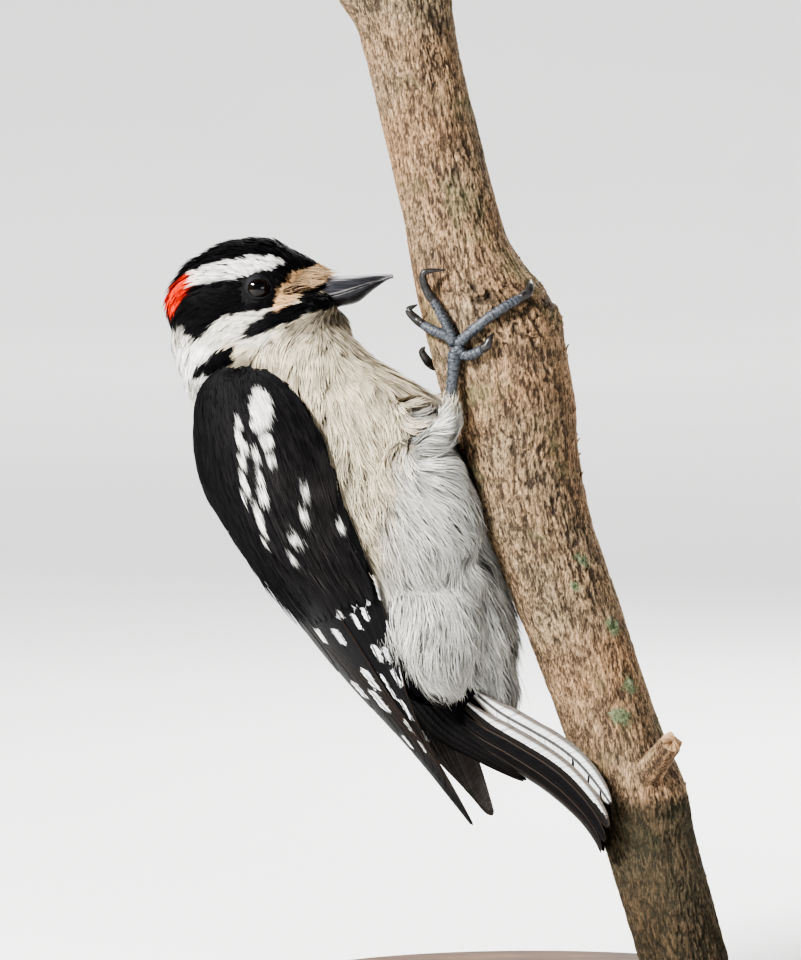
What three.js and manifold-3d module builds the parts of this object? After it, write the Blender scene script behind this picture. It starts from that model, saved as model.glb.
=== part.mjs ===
// A male downy woodpecker clinging to a leaning stem, life size, on a display stand.
// Millimetres, +Z up. The origin is the middle of the stand's underside. The bird's side view
// faces -Y: its bill points along +X and the stem stands on its belly side, towards +X.
import * as THREE from "three";
import { mergeVertices } from "three/addons/utils/BufferGeometryUtils.js";
import Module from "manifold-3d";

const wasm = await Module();
wasm.setup();

// ---------------------------------------------------------------- driving dimensions
const GAP = 0.32; // clearance left between neighbouring pieces
const FINENESS = 0.05; // details smaller than this are merged away
const BIRD_AT = [-37.0, 9.1, 105.4]; // middle of the body
const BIRD_YAW = THREE.MathUtils.degToRad(-15); // the belly is turned a little towards -Y
const HEAD_AT = [-19.2, 0, 33.2]; // middle of the head, in the bird's frame
const HEAD_YAW = -BIRD_YAW; // the head looks straight along +X
const EYE_RADIUS = 2.9;
const EYE_AT = { x: 3.1, z: 2.5, halfSpan: 6.55 };
const WING_THICKNESS = [2.0, 0.8]; // at the shoulder and at the tip
const FEATHER_THICKNESS = 0.8;
const TOE_RADIUS = 1.05;
const TARSUS_RADIUS = 1.15;
const BASE = { radius: 62, height: 10, chamfer: 1.5 };
const ROD = { radius: 2, spread: 4.6 };
const STEM_FOOT = 16.2; // height of the stem's lower saw cut
const STEM_TOP = 197.0;

// ---------------------------------------------------------------- colours
function finish(color, roughness, metalness = 0) {
  return new THREE.MeshStandardMaterial({ color, roughness, metalness });
}
const PAINT = {
  black: finish(0x17161a, 0.6),
  white: finish(0xd9d4c6, 0.85),
  bill: finish(0x4a4b52, 0.35),
  eye: finish(0x1c0f0b, 0.1),
  leg: finish(0x6d737b, 0.55),
  claw: finish(0x3a3532, 0.35),
  bark: finish(0x8d7764, 0.9),
  wood: finish(0x4a3324, 0.5),
  steel: finish(0x9a9da0, 0.3, 1),
};

// ---------------------------------------------------------------- solids
const vec = (x, y, z) => new THREE.Vector3(x, y, z);
const SIDE = vec(0, 1, 0);

// A closed geometry as a solid, turned inside out first if its faces point in.
function solid(geometry) {
  const g = geometry.clone();
  g.deleteAttribute("normal");
  g.deleteAttribute("uv");
  const merged = mergeVertices(g, 1e-4);
  const p = merged.getAttribute("position");
  const tri = Uint32Array.from(merged.index.array);
  const [a, b, c] = [vec(), vec(), vec()];
  let volume = 0;
  for (let i = 0; i < tri.length; i += 3) {
    a.fromBufferAttribute(p, tri[i]);
    b.fromBufferAttribute(p, tri[i + 1]);
    c.fromBufferAttribute(p, tri[i + 2]);
    volume += a.dot(b.cross(c));
  }
  if (volume < 0)
    for (let i = 0; i < tri.length; i += 3) [tri[i + 1], tri[i + 2]] = [tri[i + 2], tri[i + 1]];
  return new wasm.Manifold(
    new wasm.Mesh({ numProp: 3, vertProperties: p.array, triVerts: tri }),
  );
}

function node(name, manifold, material) {
  const made = manifold.simplify(FINENESS).getMesh();
  const geometry = new THREE.BufferGeometry()
    .setAttribute("position", new THREE.BufferAttribute(made.vertProperties, 3))
    .setIndex(new THREE.BufferAttribute(made.triVerts, 1));
  geometry.computeVertexNormals();
  const mesh = new THREE.Mesh(geometry, material);
  mesh.name = name;
  return mesh;
}

// The largest body of a solid, without the crumbs that a cut can leave.
function main(manifold) {
  return manifold.decompose().sort((a, b) => b.volume() - a.volume())[0];
}

// A value between rows of a table, smoothed, where t runs from 0 at the first row to 1 at the last.
// Beyond its ends the line goes straight on.
function splineOf(rows) {
  const curve = new THREE.CatmullRomCurve3(rows.map((r) => vec(...r)));
  const length = curve.getLength();
  return (t) => {
    const inside = THREE.MathUtils.clamp(t, 0, 1);
    const beyond = (t - inside) * length;
    return curve.getPoint(inside).addScaledVector(curve.getTangent(inside), beyond);
  };
}

// Moves every vertex of a geometry through a function.
function shaped(geometry, place) {
  const p = geometry.getAttribute("position");
  const v = vec();
  for (let i = 0; i < p.count; i++) {
    place(v.fromBufferAttribute(p, i));
    p.setXYZ(i, v.x, v.y, v.z);
  }
  return geometry;
}

const round = (t, reach) => Math.sqrt(1 - (1 - Math.min(1, t / reach)) ** 2);
const bent = (value, power) => Math.sign(value) * Math.abs(value) ** (2 / power);

// A body with oval sections along a spine. Each station is [x, y, z, front, back, half width]:
// front is the reach on the side of side x tangent, back the reach on the other.
function loft(stations, options = {}) {
  const { sides = 14, rings = 12, side = SIDE, caps = [0.12, 0.12], power = 2, grow = 0 } = options;
  const line = new THREE.CatmullRomCurve3(stations.map((s) => vec(s[0], s[1], s[2])));
  const size = splineOf(stations.map((s) => [s[3] + grow, s[4] + grow, s[5] + grow]));
  return solid(
    shaped(new THREE.SphereGeometry(1, sides, rings), (v) => {
      const t = Math.acos(THREE.MathUtils.clamp(v.y, -1, 1)) / Math.PI;
      const angle = Math.atan2(v.z, v.x);
      const along = line.getTangent(THREE.MathUtils.clamp(t, 0.001, 0.999));
      const depth = vec().crossVectors(side, along).normalize();
      const across = vec().crossVectors(along, depth).normalize();
      const s = size(t);
      const full = round(t, caps[0]) * round(1 - t, caps[1]);
      const d = bent(Math.cos(angle), power) * full;
      const w = bent(Math.sin(angle), power) * full;
      v.copy(line.getPoint(t));
      v.addScaledVector(along, grow * (2 * t - 1) * (t < 0.001 || t > 0.999 ? 1 : 0));
      v.addScaledVector(depth, d * (d > 0 ? s.x : s.y)).addScaledVector(across, w * s.z);
    }),
  );
}

// A round tube through points, whose radius runs from the first to the last.
function tube(points, from, to, options = {}) {
  const last = points.length - 1;
  const stations = points.map((p, i) => {
    const r = from + ((to - from) * i) / last;
    return [p.x, p.y, p.z, r, r, r];
  });
  return loft(stations, { sides: 6, rings: 6, caps: [0.14, 0.14], ...options });
}

// ---------------------------------------------------------------- the stem
// height, the axis's X, radius
const STEM = [
  [STEM_FOOT, 27.0, 7.9],
  [33.0, 22.2, 8.1],
  [50.0, 16.9, 8.7],
  [67.0, 10.8, 8.7],
  [84.0, 4.7, 9.3],
  [97.0, -0.2, 9.7],
  [109.0, -3.4, 10.2],
  [121.0, -6.0, 11.3],
  [131.0, -9.4, 10.6],
  [142.0, -13.4, 9.2],
  [153.0, -16.0, 8.5],
  [170.0, -20.1, 8.3],
  [186.0, -24.0, 8.3],
  [STEM_TOP, -26.6, 9.4],
];
const STEM_STRETCH = 1.045; // a level section of the leaning stem is a little long in X
const stemLine = splineOf(STEM.map(([z, x, r]) => [x, r, z]));
// height, angle round the stem, how far it stands out, half height, sharpness round the stem
const KNOTS = [
  { z: 138.5, angle: -10, out: 4.4, half: 8.0, sharp: 1.5 },
  { z: 128.0, angle: -20, out: 1.2, half: 7.0, sharp: 1.0 },
  { z: 49.0, angle: -50, out: 1.4, half: 6.0, sharp: 2.0 },
  { z: 195.0, angle: 180, out: 1.4, half: 3.5, sharp: 1.0 },
];
const STUB = { foot: [17.4, -4.5, 48.8], tip: [24.2, -12.4, 58.6], radius: [2.9, 1.9] };

// The parameter of stemLine at a height.
function stemShare(z) {
  let [low, high] = [0, 1];
  for (let i = 0; i < 30; i++) {
    const mid = (low + high) / 2;
    if (stemLine(mid).z < z) low = mid;
    else high = mid;
  }
  return low;
}

// A point on the stem at a height and an angle in degrees (0 is +X, 270 is -Y), stood off it.
function onStem(z, degrees, off = 0) {
  const at = stemLine(stemShare(z));
  const angle = THREE.MathUtils.degToRad(degrees);
  let r = at.y + off;
  for (const k of KNOTS) {
    const facing = Math.max(0, Math.cos(angle - THREE.MathUtils.degToRad(k.angle)));
    r += k.out * Math.exp(-(((z - k.z) / k.half) ** 2)) * facing ** k.sharp;
  }
  return vec(at.x + r * STEM_STRETCH * Math.cos(angle), r * Math.sin(angle), z);
}

function stemSolid(off = 0) {
  const height = STEM_TOP - STEM_FOOT;
  const column = new THREE.CylinderGeometry(1, 1, 1, 18, 30);
  return solid(
    shaped(column, (v) => {
      const z = STEM_FOOT + (v.y + 0.5) * height;
      const radial = Math.hypot(v.x, v.z);
      if (radial < 0.01) {
        const at = stemLine(stemShare(z));
        v.set(at.x, 0, z);
      } else v.copy(onStem(z, THREE.MathUtils.radToDeg(Math.atan2(v.z, v.x)), off));
    }),
  );
}

function perch() {
  const stub = tube([vec(...STUB.foot), vec(...STUB.tip)], ...STUB.radius, { rings: 6, sides: 10 });
  return node("perch", stemSolid().add(stub), PAINT.bark);
}

// ---------------------------------------------------------------- the stand
function stand() {
  const { radius, height, chamfer } = BASE;
  const profile = [
    [0, 0],
    [radius - chamfer, 0],
    [radius, chamfer],
    [radius, height - chamfer],
    [radius - chamfer, height],
    [0, height],
  ].map(([r, z]) => new THREE.Vector2(r, z));
  const disc = solid(new THREE.LatheGeometry(profile, 40).rotateX(Math.PI / 2));
  const foot = stemLine(0);
  const group = new THREE.Group();
  group.add(node("stand_base", disc, PAINT.wood));
  [-1, 1].forEach((way, i) => {
    const length = STEM_FOOT - height - 2 * GAP;
    const rod = new THREE.CylinderGeometry(ROD.radius, ROD.radius, length, 12);
    rod.rotateX(Math.PI / 2);
    rod.translate(foot.x, way * ROD.spread, height + GAP + length / 2);
    group.add(node(`stand_rod_${i + 1}`, solid(rod), PAINT.steel));
  });
  return group;
}

// ---------------------------------------------------------------- head
// Stations of the head from nape to forehead, in the head's own frame: crown, throat, half width.
const HEAD = [
  [-13.4, 0, -3.2, 5.6, 7.5, 6.5],
  [-7.4, 0, -1.7, 8.6, 9.0, 8.7],
  [0, 0, 0, 10.9, 8.6, 9.4],
  [7.6, 0, 1.8, 10.0, 7.4, 8.3],
  [12.8, 0, 3.0, 6.6, 6.0, 5.9],
  [17.0, 0, 3.4, 2.6, 2.6, 3.2],
];
const headFrame = new THREE.Matrix4()
  .makeTranslation(...HEAD_AT)
  .multiply(new THREE.Matrix4().makeRotationZ(HEAD_YAW));
const inBird = (manifold) => manifold.transform(headFrame.elements);

const CHIN = [
  [3.0, 0, -5.2, 4.0, 5.0, 5.6],
  [12.0, 0, -4.4, 4.6, 5.2, 4.8],
  [18.6, 0, -3.4, 3.0, 5.0, 3.2],
  [20.4, 0, -3.2, 1.6, 3.4, 1.8],
];
const cranium = () => {
  const facing = { side: vec(0, -1, 0) };
  const skull = loft(HEAD, { ...facing, sides: 18, rings: 13, caps: [0.2, 0.12] });
  return inBird(skull.add(loft(CHIN, { ...facing, sides: 14, rings: 9, caps: [0.2, 0.1] })));
};

// The bill in the head's own frame: x, height of the mouth line, of the ridge and of the keel,
// and the half width. It ends in a chisel.
const BILL = [
  [11.2, -0.5, 3.6, -2.8, 2.9],
  [15.0, 0.6, 4.3, -1.9, 3.0],
  [18.0, 1.3, 4.6, -1.2, 2.9],
  [20.6, 2.1, 4.7, -0.6, 2.5],
  [24.5, 3.4, 4.9, 2.1, 1.5],
  [27.4, 4.3, 5.0, 3.9, 0.8],
  [28.4, 4.55, 4.95, 4.3, 0.5],
];

// One mandible: way is 1 for the upper and -1 for the lower.
function mandible(way, grow = 0) {
  const stations = BILL.map(([x, mouth, ridge, keel, width]) => {
    const reach = Math.max(0.34, Math.abs((way > 0 ? ridge : keel) - mouth));
    return [x, 0, mouth + way * (GAP / 2), way > 0 ? reach : 0.02, way > 0 ? 0.02 : reach, width];
  });
  const shape = { side: vec(0, -1, 0), sides: 12, rings: 9, caps: [0.03, 0.03], power: 1.8, grow };
  return inBird(loft(stations, shape));
}

function eye(way, grow = 0) {
  const ball = new THREE.SphereGeometry(EYE_RADIUS + grow, 12, 8);
  ball.translate(EYE_AT.x, way * EYE_AT.halfSpan, EYE_AT.z);
  return inBird(solid(ball));
}

// ---------------------------------------------------------------- body
// Stations from the tail root up to the head: belly side, back side, half width.
const BODY = [
  [27.5, 0, -48.5, 8.0, 3.0, 5.6],
  [24.0, 0, -42.0, 11.5, 5.4, 8.0],
  [20.0, 0, -34.3, 15.4, 8.2, 10.4],
  [15.5, 0, -25.5, 19.2, 12.0, 12.8],
  [9.5, 0, -15.0, 22.2, 16.6, 15.4],
  [0, 0, 0.6, 24.2, 20.6, 17.2],
  [-8.9, 0, 14.4, 17.4, 18.8, 15.6],
  [-14.2, 0, 23.6, 15.4, 17.4, 12.6],
  [-16.0, 0, 30.2, 16.2, 17.8, 10.6],
  [-17.2, 0, 36.0, 12.0, 14.5, 8.6],
];
const body = () => loft(BODY, { sides: 22, rings: 20, caps: [0.08, 0.14] });

// A plane through two points of the bird's mid-plane, given as [x, z].
function planeThrough([x0, z0], [x1, z1]) {
  const normal = vec(z0 - z1, 0, x1 - x0).normalize();
  return { normal: normal.toArray(), offset: normal.x * x0 + normal.z * z0 };
}
const above = (m, { normal, offset }) => m.trimByPlane(normal, offset + GAP / 2);
const below = (m, { normal, offset }) =>
  m.trimByPlane(
    normal.map((n) => -n),
    -offset + GAP / 2,
  );
const THROAT_CUT = planeThrough([-34, 25.2], [2, 29.5]);
const SHOULDER_CUT = planeThrough([-30, 11.5], [9, 22.5]);
const VENT_CUT = planeThrough([12.5, -37.5], [29, -29.5]);

// ---------------------------------------------------------------- wings
// Sections from shoulder to tip. Each has the belly edge, the bulge's control point and the back
// edge, for the bird's right wing.
const WING = [
  { belly: [-14.4, -12.6, 21.1], bulge: [-17.2, -13.8, 21.5], back: [-20.0, -12.0, 20.6] },
  { belly: [-6.6, -15.2, 19.0], bulge: [-20.5, -20.6, 20.0], back: [-26.4, -4.6, 13.6] },
  { belly: [1.2, -17.2, 9.6], bulge: [-16.5, -24.0, 5.5], back: [-26.2, -3.2, -0.6] },
  { belly: [6.0, -17.8, -4.6], bulge: [-9.5, -24.0, -11.0], back: [-17.2, -2.6, -14.4] },
  { belly: [11.4, -16.2, -17.4], bulge: [-1.5, -20.0, -22.5], back: [-8.0, -2.4, -26.0] },
  { belly: [16.6, -13.2, -30.4], bulge: [6.4, -14.2, -34.0], back: [1.8, -2.8, -37.2] },
  { belly: [22.0, -10.0, -46.0], bulge: [17.0, -9.6, -48.0], back: [14.0, -4.2, -49.2] },
  { belly: [25.4, -8.6, -55.6], bulge: [23.0, -8.0, -56.6], back: [21.6, -6.2, -57.2] },
  { belly: [27.8, -7.8, -62.9], bulge: [27.4, -7.4, -63.2], back: [27.0, -7.0, -63.4] },
];
const wingEdge = {
  belly: splineOf(WING.map((w) => w.belly)),
  bulge: splineOf(WING.map((w) => w.bulge)),
  back: splineOf(WING.map((w) => w.back)),
};

// A point of the right wing: s runs from shoulder to tip, t from belly edge to back edge.
function wingPoint(s, t) {
  return wingEdge
    .belly(s)
    .multiplyScalar((1 - t) ** 2)
    .addScaledVector(wingEdge.bulge(s), 2 * t * (1 - t))
    .addScaledVector(wingEdge.back(s), t * t);
}

// Outwards, from a line inside the body that draws away to the far side towards the tip.
function wingNormal(s, t) {
  const core = wingEdge.belly(s).lerp(wingEdge.back(s), 0.5);
  core.set(core.x + 3 * (1 - s), 2 + 40 * s * s, core.z - 5 * (1 - s));
  return wingPoint(s, t).sub(core).normalize();
}

// A piece of the wing. from and to are s; range(s) gives the t that it starts and ends at;
// inner and outer are its extra reach into the body and away from it.
function wingPiece(way, [from, to], range, [across, along], inner = 0, outer = 0) {
  const box = new THREE.BoxGeometry(1, 1, 1, across, 1, along);
  return solid(
    shaped(box, (v) => {
      const s = from + (to - from) * (v.z + 0.5);
      const [t0, t1] = range(s);
      const t = t0 + (t1 - t0) * (v.x + 0.5);
      const thick = THREE.MathUtils.lerp(...WING_THICKNESS, Math.sqrt(Math.max(0, s)));
      const rim = 0.35 + 0.65 * Math.sin(Math.PI * THREE.MathUtils.clamp(t, 0.05, 0.95));
      const out = v.y > 0 ? outer : -thick * rim - inner;
      v.copy(wingPoint(s, t)).addScaledVector(wingNormal(s, t), out);
      v.y *= -way;
    }),
  );
}
const COVERT_END = 0.4; // where the coverts stop, as a share of the wing's length
const SLIT = 0.006; // the cut between the wing's pieces, as a share of its length
const HAND = 0.42; // share of the width that the long hand feathers take
const SECONDARY_END = 0.84;
const handEdge = (s) =>
  HAND + (1 - HAND) * THREE.MathUtils.smoothstep(s, SECONDARY_END - 0.14, SECONDARY_END + 0.02);
// The room cut for the whole wing is a little wider than the wing, most of all at its narrow start.
const coverRange = (s) => {
  const margin = 0.035 + 0.2 * Math.max(0, 1 - s / 0.08);
  return [-margin, 1 + margin];
};
const widened = (range) => (s) => {
  const [from, to] = range(s);
  return [from - 0.05, to + 0.05];
};
const WING_PIECES = {
  coverts: [[0, COVERT_END], () => [0, 1], [7, 7]],
  primaries: [[COVERT_END + SLIT, 1], (s) => [0, handEdge(s)], [4, 10]],
  secondaries: [[COVERT_END + SLIT, SECONDARY_END], (s) => [handEdge(s) + 0.045, 1], [4, 7]],
};

// ---------------------------------------------------------------- tail
const TAIL_LINE = splineOf([
  [20.6, 0, -44.4],
  [27.4, 0, -49.8],
  [34.3, 0, -53.9],
  [39.4, 0, -57.0],
  [43.6, 0, -60.2],
  [46.8, 0, -63.2],
  [49.2, 0, -66.4],
  [50.2, 0, -68.4],
]);
const TAIL_FEATHERS = 5; // each side of the middle
const TAIL_HALF = [4.5, 8.6]; // half width at the root and towards the tips
const TAIL_DROP = 9.0; // how far the edges hang towards the belly
const TAIL_SHARES = [1.0, 0.97, 0.9, 0.83, 0.74]; // lengths, from the middle pair outwards

// A point of the tail: u runs from -1 at the right edge to 1 at the left, s from root to tip.
function tailPoint(u, s, off) {
  const at = TAIL_LINE(s);
  const along = TAIL_LINE(Math.min(1, s + 0.02)).sub(TAIL_LINE(Math.max(0, s - 0.02))).normalize();
  const belly = vec(-along.z, 0, along.x);
  const half = THREE.MathUtils.lerp(...TAIL_HALF, Math.sqrt(Math.max(0, s)));
  const free = u > 0 ? THREE.MathUtils.smoothstep(s, 0.5, 0.95) : 0; // the left half lies on the stem
  const drop = TAIL_DROP * (1 - 0.72 * free) * (0.45 + 0.55 * Math.min(1, s * 2));
  at.addScaledVector(belly, drop * (1 - Math.cos((Math.abs(u) * Math.PI) / 2)) + off);
  at.y += half * Math.sin((u * Math.PI) / 2) * (1 + 0.12 * free);
  return at;
}

function tailFeather(side, i) {
  const way = side === "left" ? 1 : -1;
  const length = TAIL_SHARES[i];
  const box = new THREE.BoxGeometry(1, 1, 1, 2, 1, 8);
  return solid(
    shaped(box, (v) => {
      const w = v.z + 0.5;
      const point = 1 - 0.85 * THREE.MathUtils.smoothstep(w, 0.78, 1); // the tip narrows
      const middle = (i + 0.5) / TAIL_FEATHERS;
      const u = way * (middle + ((v.x * 0.88) / TAIL_FEATHERS) * point);
      v.copy(tailPoint(u, 0.06 + (length - 0.06) * w, (v.y + 0.5) * FEATHER_THICKNESS));
    }),
  );
}

// ---------------------------------------------------------------- legs
// Places on the stem: [height, angle round it] along each toe's pad, from hind toe to outer toe,
// and [height, angle, distance off it] along each claw. Ankles and knees are in the bird's frame.
const STAND_OFF = TOE_RADIUS + GAP;
const FEET = {
  right: {
    joint: [131.4, 241],
    ankle: [24.2, -13.2, 10.6],
    knee: [9.5, -11.0, -3.5],
    pads: [
      [[129.6, 246], [130.0, 256], [131.0, 264]],
      [[132.8, 236], [133.9, 221], [135.0, 205]],
      [[133.8, 239], [136.6, 236], [139.9, 230]],
      [[132.4, 248], [135.2, 268], [137.9, 289], [140.4, 312]],
    ],
    claws: [
      [[131.4, 268, 1.2], [132.6, 272, 1.2], [133.6, 277, 0.6]],
      [[135.8, 200, 1.4], [137.6, 199, 2.4], [138.6, 202, 0.7]],
      [[141.2, 229, 1.6], [144.6, 235, 3.0], [145.2, 252, 0.7]],
      [[141.0, 317, 1.1], [142.3, 323, 1.2], [143.2, 330, 0.7]],
    ],
  },
  left: {
    joint: [125.4, 118],
    ankle: [23.2, 12.2, 4.4],
    knee: [9.5, 11.0, -6.0],
    pads: [
      [[123.6, 113], [123.0, 104], [123.4, 94]],
      [[126.0, 126], [126.6, 146], [127.2, 164]],
      [[127.8, 118], [131.2, 121], [134.6, 124]],
      [[126.4, 111], [128.6, 92], [131.0, 71], [133.4, 50]],
    ],
    claws: [
      [[123.7, 90, 1.2], [124.6, 86, 1.2], [125.6, 82, 0.6]],
      [[127.9, 169, 0.9], [129.6, 172, 1.3], [130.6, 176, 0.5]],
      [[135.8, 125, 1.6], [138.6, 122, 2.8], [139.2, 112, 0.7]],
      [[133.9, 45, 1.1], [134.9, 39, 1.2], [135.6, 33, 0.7]],
    ],
  },
};

function buildLeg(bird, side, trunk) {
  const foot = FEET[side];
  const local = (z, angle, off) => bird.worldToLocal(onStem(z, angle, off));
  const joint = local(...foot.joint, STAND_OFF + 0.3);
  const ankle = vec(...foot.ankle);
  const knee = vec(...foot.knee);
  const crossways = { side: vec(0.9, 0.3, 0.3) };
  const shin = (grow) => {
    const middle = joint.clone().lerp(ankle, 0.5);
    return tube([joint, middle, ankle], TARSUS_RADIUS, TARSUS_RADIUS + 0.35, { ...crossways, grow });
  };
  const thighLine = [knee, knee.clone().lerp(ankle, 0.55), ankle.clone().lerp(joint, 0.3)];
  const radii = [6.4, 4.2, 1.9];
  const thigh = (grow) =>
    loft(
      thighLine.map((p, i) => [p.x, p.y, p.z, radii[i], radii[i], radii[i]]),
      { sides: 12, rings: 8, caps: [0.2, 0.1], grow },
    );
  bird.add(node(`thigh_${side}`, main(thigh(0).subtract(trunk)), PAINT.white));
  const covered = main(shin(0).subtract(thigh(GAP)));
  bird.add(node(`tarsus_${side}`, covered, PAINT.leg));
  const across = { side: vec(0.2, 0.1, 0.97) };
  foot.pads.forEach((pad, i) => {
    const padLine = pad.map(([z, angle]) => local(z, angle, STAND_OFF));
    const clawLine = foot.claws[i].map(([z, angle, off]) => local(z, angle, off + GAP + 0.1));
    const upright = i === 2 ? crossways : across;
    const toe = (grow) => tube(padLine, TOE_RADIUS, TOE_RADIUS * 0.85, { ...upright, grow });
    const nail = tube([padLine[padLine.length - 1], ...clawLine], TOE_RADIUS * 0.75, 0.3, {
      ...upright,
      rings: 7,
    });
    bird.add(node(`toe_${side}_${i + 1}`, main(toe(0).subtract(shin(GAP))), PAINT.leg));
    bird.add(node(`claw_${side}_${i + 1}`, main(nail.subtract(toe(GAP))), PAINT.claw));
  });
  return thigh(GAP);
}

// ---------------------------------------------------------------- assembly
function woodpecker() {
  const bird = new THREE.Group();
  bird.position.set(...BIRD_AT);
  bird.rotation.z = BIRD_YAW;
  bird.updateMatrixWorld(true);

  const inverse = bird.matrixWorld.clone().invert();
  const stem = stemSolid(GAP).transform(inverse.elements);
  const flesh = body().add(cranium()).subtract(stem);

  const wings = [];
  [-1, 1].forEach((way) => {
    const side = way < 0 ? "right" : "left";
    for (const [piece, [ends, range, cuts]] of Object.entries(WING_PIECES)) {
      const shape = wingPiece(way, ends, range, cuts).subtract(stem);
      bird.add(node(`wing_${side}_${piece}`, main(shape), PAINT.black));
      wings.push(wingPiece(way, [ends[0] - 2 * SLIT, ends[1]], widened(range), cuts, GAP, GAP));
    }
    wings.push(wingPiece(way, [-0.02, 1], coverRange, [9, 15], GAP, 9));
  });
  const bare = wings.reduce((m, w) => m.subtract(w), flesh);

  const tail = [];
  for (const side of ["right", "left"])
    for (let i = 0; i < TAIL_FEATHERS; i++) {
      const shape = tailFeather(side, i).subtract(stem);
      tail.push(shape);
      bird.add(node(`tail_${side}_${i + 1}`, main(shape), i < 3 ? PAINT.black : PAINT.white));
    }

  const openings = [mandible(1, GAP), mandible(-1, GAP), eye(1, GAP), eye(-1, GAP)];
  const head = openings.reduce((m, o) => m.subtract(o), main(above(bare, THROAT_CUT)));
  const neck = above(below(bare, THROAT_CUT), SHOULDER_CUT);
  const torso = above(below(bare, SHOULDER_CUT), VENT_CUT);
  bird.add(node("head", main(head), PAINT.black));
  bird.add(node("neck", main(neck), PAINT.white));
  bird.add(node("bill_upper", mandible(1), PAINT.bill));
  bird.add(node("bill_lower", mandible(-1), PAINT.bill));
  bird.add(node("eye_right", eye(-1), PAINT.eye));
  bird.add(node("eye_left", eye(1), PAINT.eye));

  const trunkCutter = main(torso);
  const thighs = ["right", "left"].map((side) => buildLeg(bird, side, below(bare, THROAT_CUT)));
  const trunk = thighs.reduce((m, t) => m.subtract(t), trunkCutter);
  bird.add(node("trunk", main(trunk), PAINT.white));
  const rump = tail.reduce((m, t) => m.subtract(t), below(bare, VENT_CUT));
  bird.add(node("rump", main(rump), PAINT.white));
  return bird;
}

const model = new THREE.Group();
model.add(stand(), perch(), woodpecker());
export default model;
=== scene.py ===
"""A male downy woodpecker on a leaning stem, life size, on a display stand.

Lengths in the code are millimetres, and meshes are written in metres. The bird has a frame of its
own, turned about the vertical, with its belly towards +X and its right side towards -Y; its head
has another, with the bill along +X.
"""
import math
from functools import lru_cache

import bpy
import numpy as np
from bpy.props import FloatProperty, FloatVectorProperty, IntProperty, PointerProperty
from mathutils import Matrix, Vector
from mathutils.bvhtree import BVHTree


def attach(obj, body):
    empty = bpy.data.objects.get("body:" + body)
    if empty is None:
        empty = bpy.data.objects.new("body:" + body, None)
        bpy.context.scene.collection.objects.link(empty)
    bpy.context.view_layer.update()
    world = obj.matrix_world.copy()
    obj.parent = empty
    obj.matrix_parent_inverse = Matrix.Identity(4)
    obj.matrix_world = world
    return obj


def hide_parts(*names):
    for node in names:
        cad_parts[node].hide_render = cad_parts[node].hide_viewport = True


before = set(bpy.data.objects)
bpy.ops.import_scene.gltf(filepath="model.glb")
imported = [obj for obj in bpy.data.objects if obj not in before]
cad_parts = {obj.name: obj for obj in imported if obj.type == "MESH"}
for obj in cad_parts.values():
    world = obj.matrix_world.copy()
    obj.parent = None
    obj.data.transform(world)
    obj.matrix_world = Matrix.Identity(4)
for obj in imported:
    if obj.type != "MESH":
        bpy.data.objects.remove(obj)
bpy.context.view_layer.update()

bl_info = {
    "name": "Woodpecker on a stem",
    "version": (1, 0, 0),
    "blender": (4, 5, 0),
    "location": "View3D > Sidebar > Woodpecker",
    "description": "Builds a life-size woodpecker, feather by feather, with its perch and stand",
    "category": "Object",
}

MM = 0.001

# ---------------------------------------------------------------- driving dimensions
GAP = 0.32
BIRD_AT = (-37.0, 9.1, 105.4)
BIRD_YAW = math.radians(-15)
HEAD_AT = (-19.2, 0, 33.2)
HEAD_YAW = -BIRD_YAW
EYE_RADIUS = 2.9
EYE_AT = (3.1, 6.55, 2.5)
TOE_RADIUS = 1.05
TARSUS_RADIUS = 1.15
BASE_RADIUS, BASE_HEIGHT = 62.0, 10.0
ROD_RADIUS, ROD_SPREAD = 2.0, 4.6
STEM_FOOT, STEM_TOP = 16.2, 197.0

# stations of the body and the head: x, y, z, front or crown, back or throat, half width
BODY = [
    (27.5, 0, -48.5, 8.0, 3.0, 5.6),
    (24.0, 0, -42.0, 11.5, 5.4, 8.0),
    (20.0, 0, -34.3, 15.4, 8.2, 10.4),
    (15.5, 0, -25.5, 19.2, 12.0, 12.8),
    (9.5, 0, -15.0, 22.2, 16.6, 15.4),
    (0, 0, 0.6, 24.2, 20.6, 17.2),
    (-8.9, 0, 14.4, 17.4, 18.8, 15.6),
    (-14.2, 0, 23.6, 15.4, 17.4, 12.6),
    (-16.0, 0, 30.2, 16.2, 17.8, 10.6),
    (-17.2, 0, 36.0, 12.0, 14.5, 8.6),
]
HEAD = [
    (-13.4, 0, -3.2, 5.6, 7.5, 6.5),
    (-7.4, 0, -1.7, 8.6, 9.0, 8.7),
    (0, 0, 0, 10.9, 8.6, 9.4),
    (7.6, 0, 1.8, 10.0, 7.4, 8.3),
    (12.8, 0, 3.0, 6.6, 6.0, 5.9),
    (17.0, 0, 3.4, 2.6, 2.6, 3.2),
]
# the bill: x, heights of the mouth line, the ridge and the keel, half width
BILL = [
    (11.2, -0.5, 3.6, -2.8, 2.9),
    (15.0, 0.6, 4.3, -1.9, 3.0),
    (18.0, 1.3, 4.6, -1.2, 2.9),
    (20.6, 2.1, 4.7, -0.6, 2.5),
    (24.5, 3.4, 4.9, 2.1, 1.5),
    (27.4, 4.3, 5.0, 3.9, 0.8),
    (28.4, 4.55, 4.95, 4.3, 0.5),
]
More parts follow.
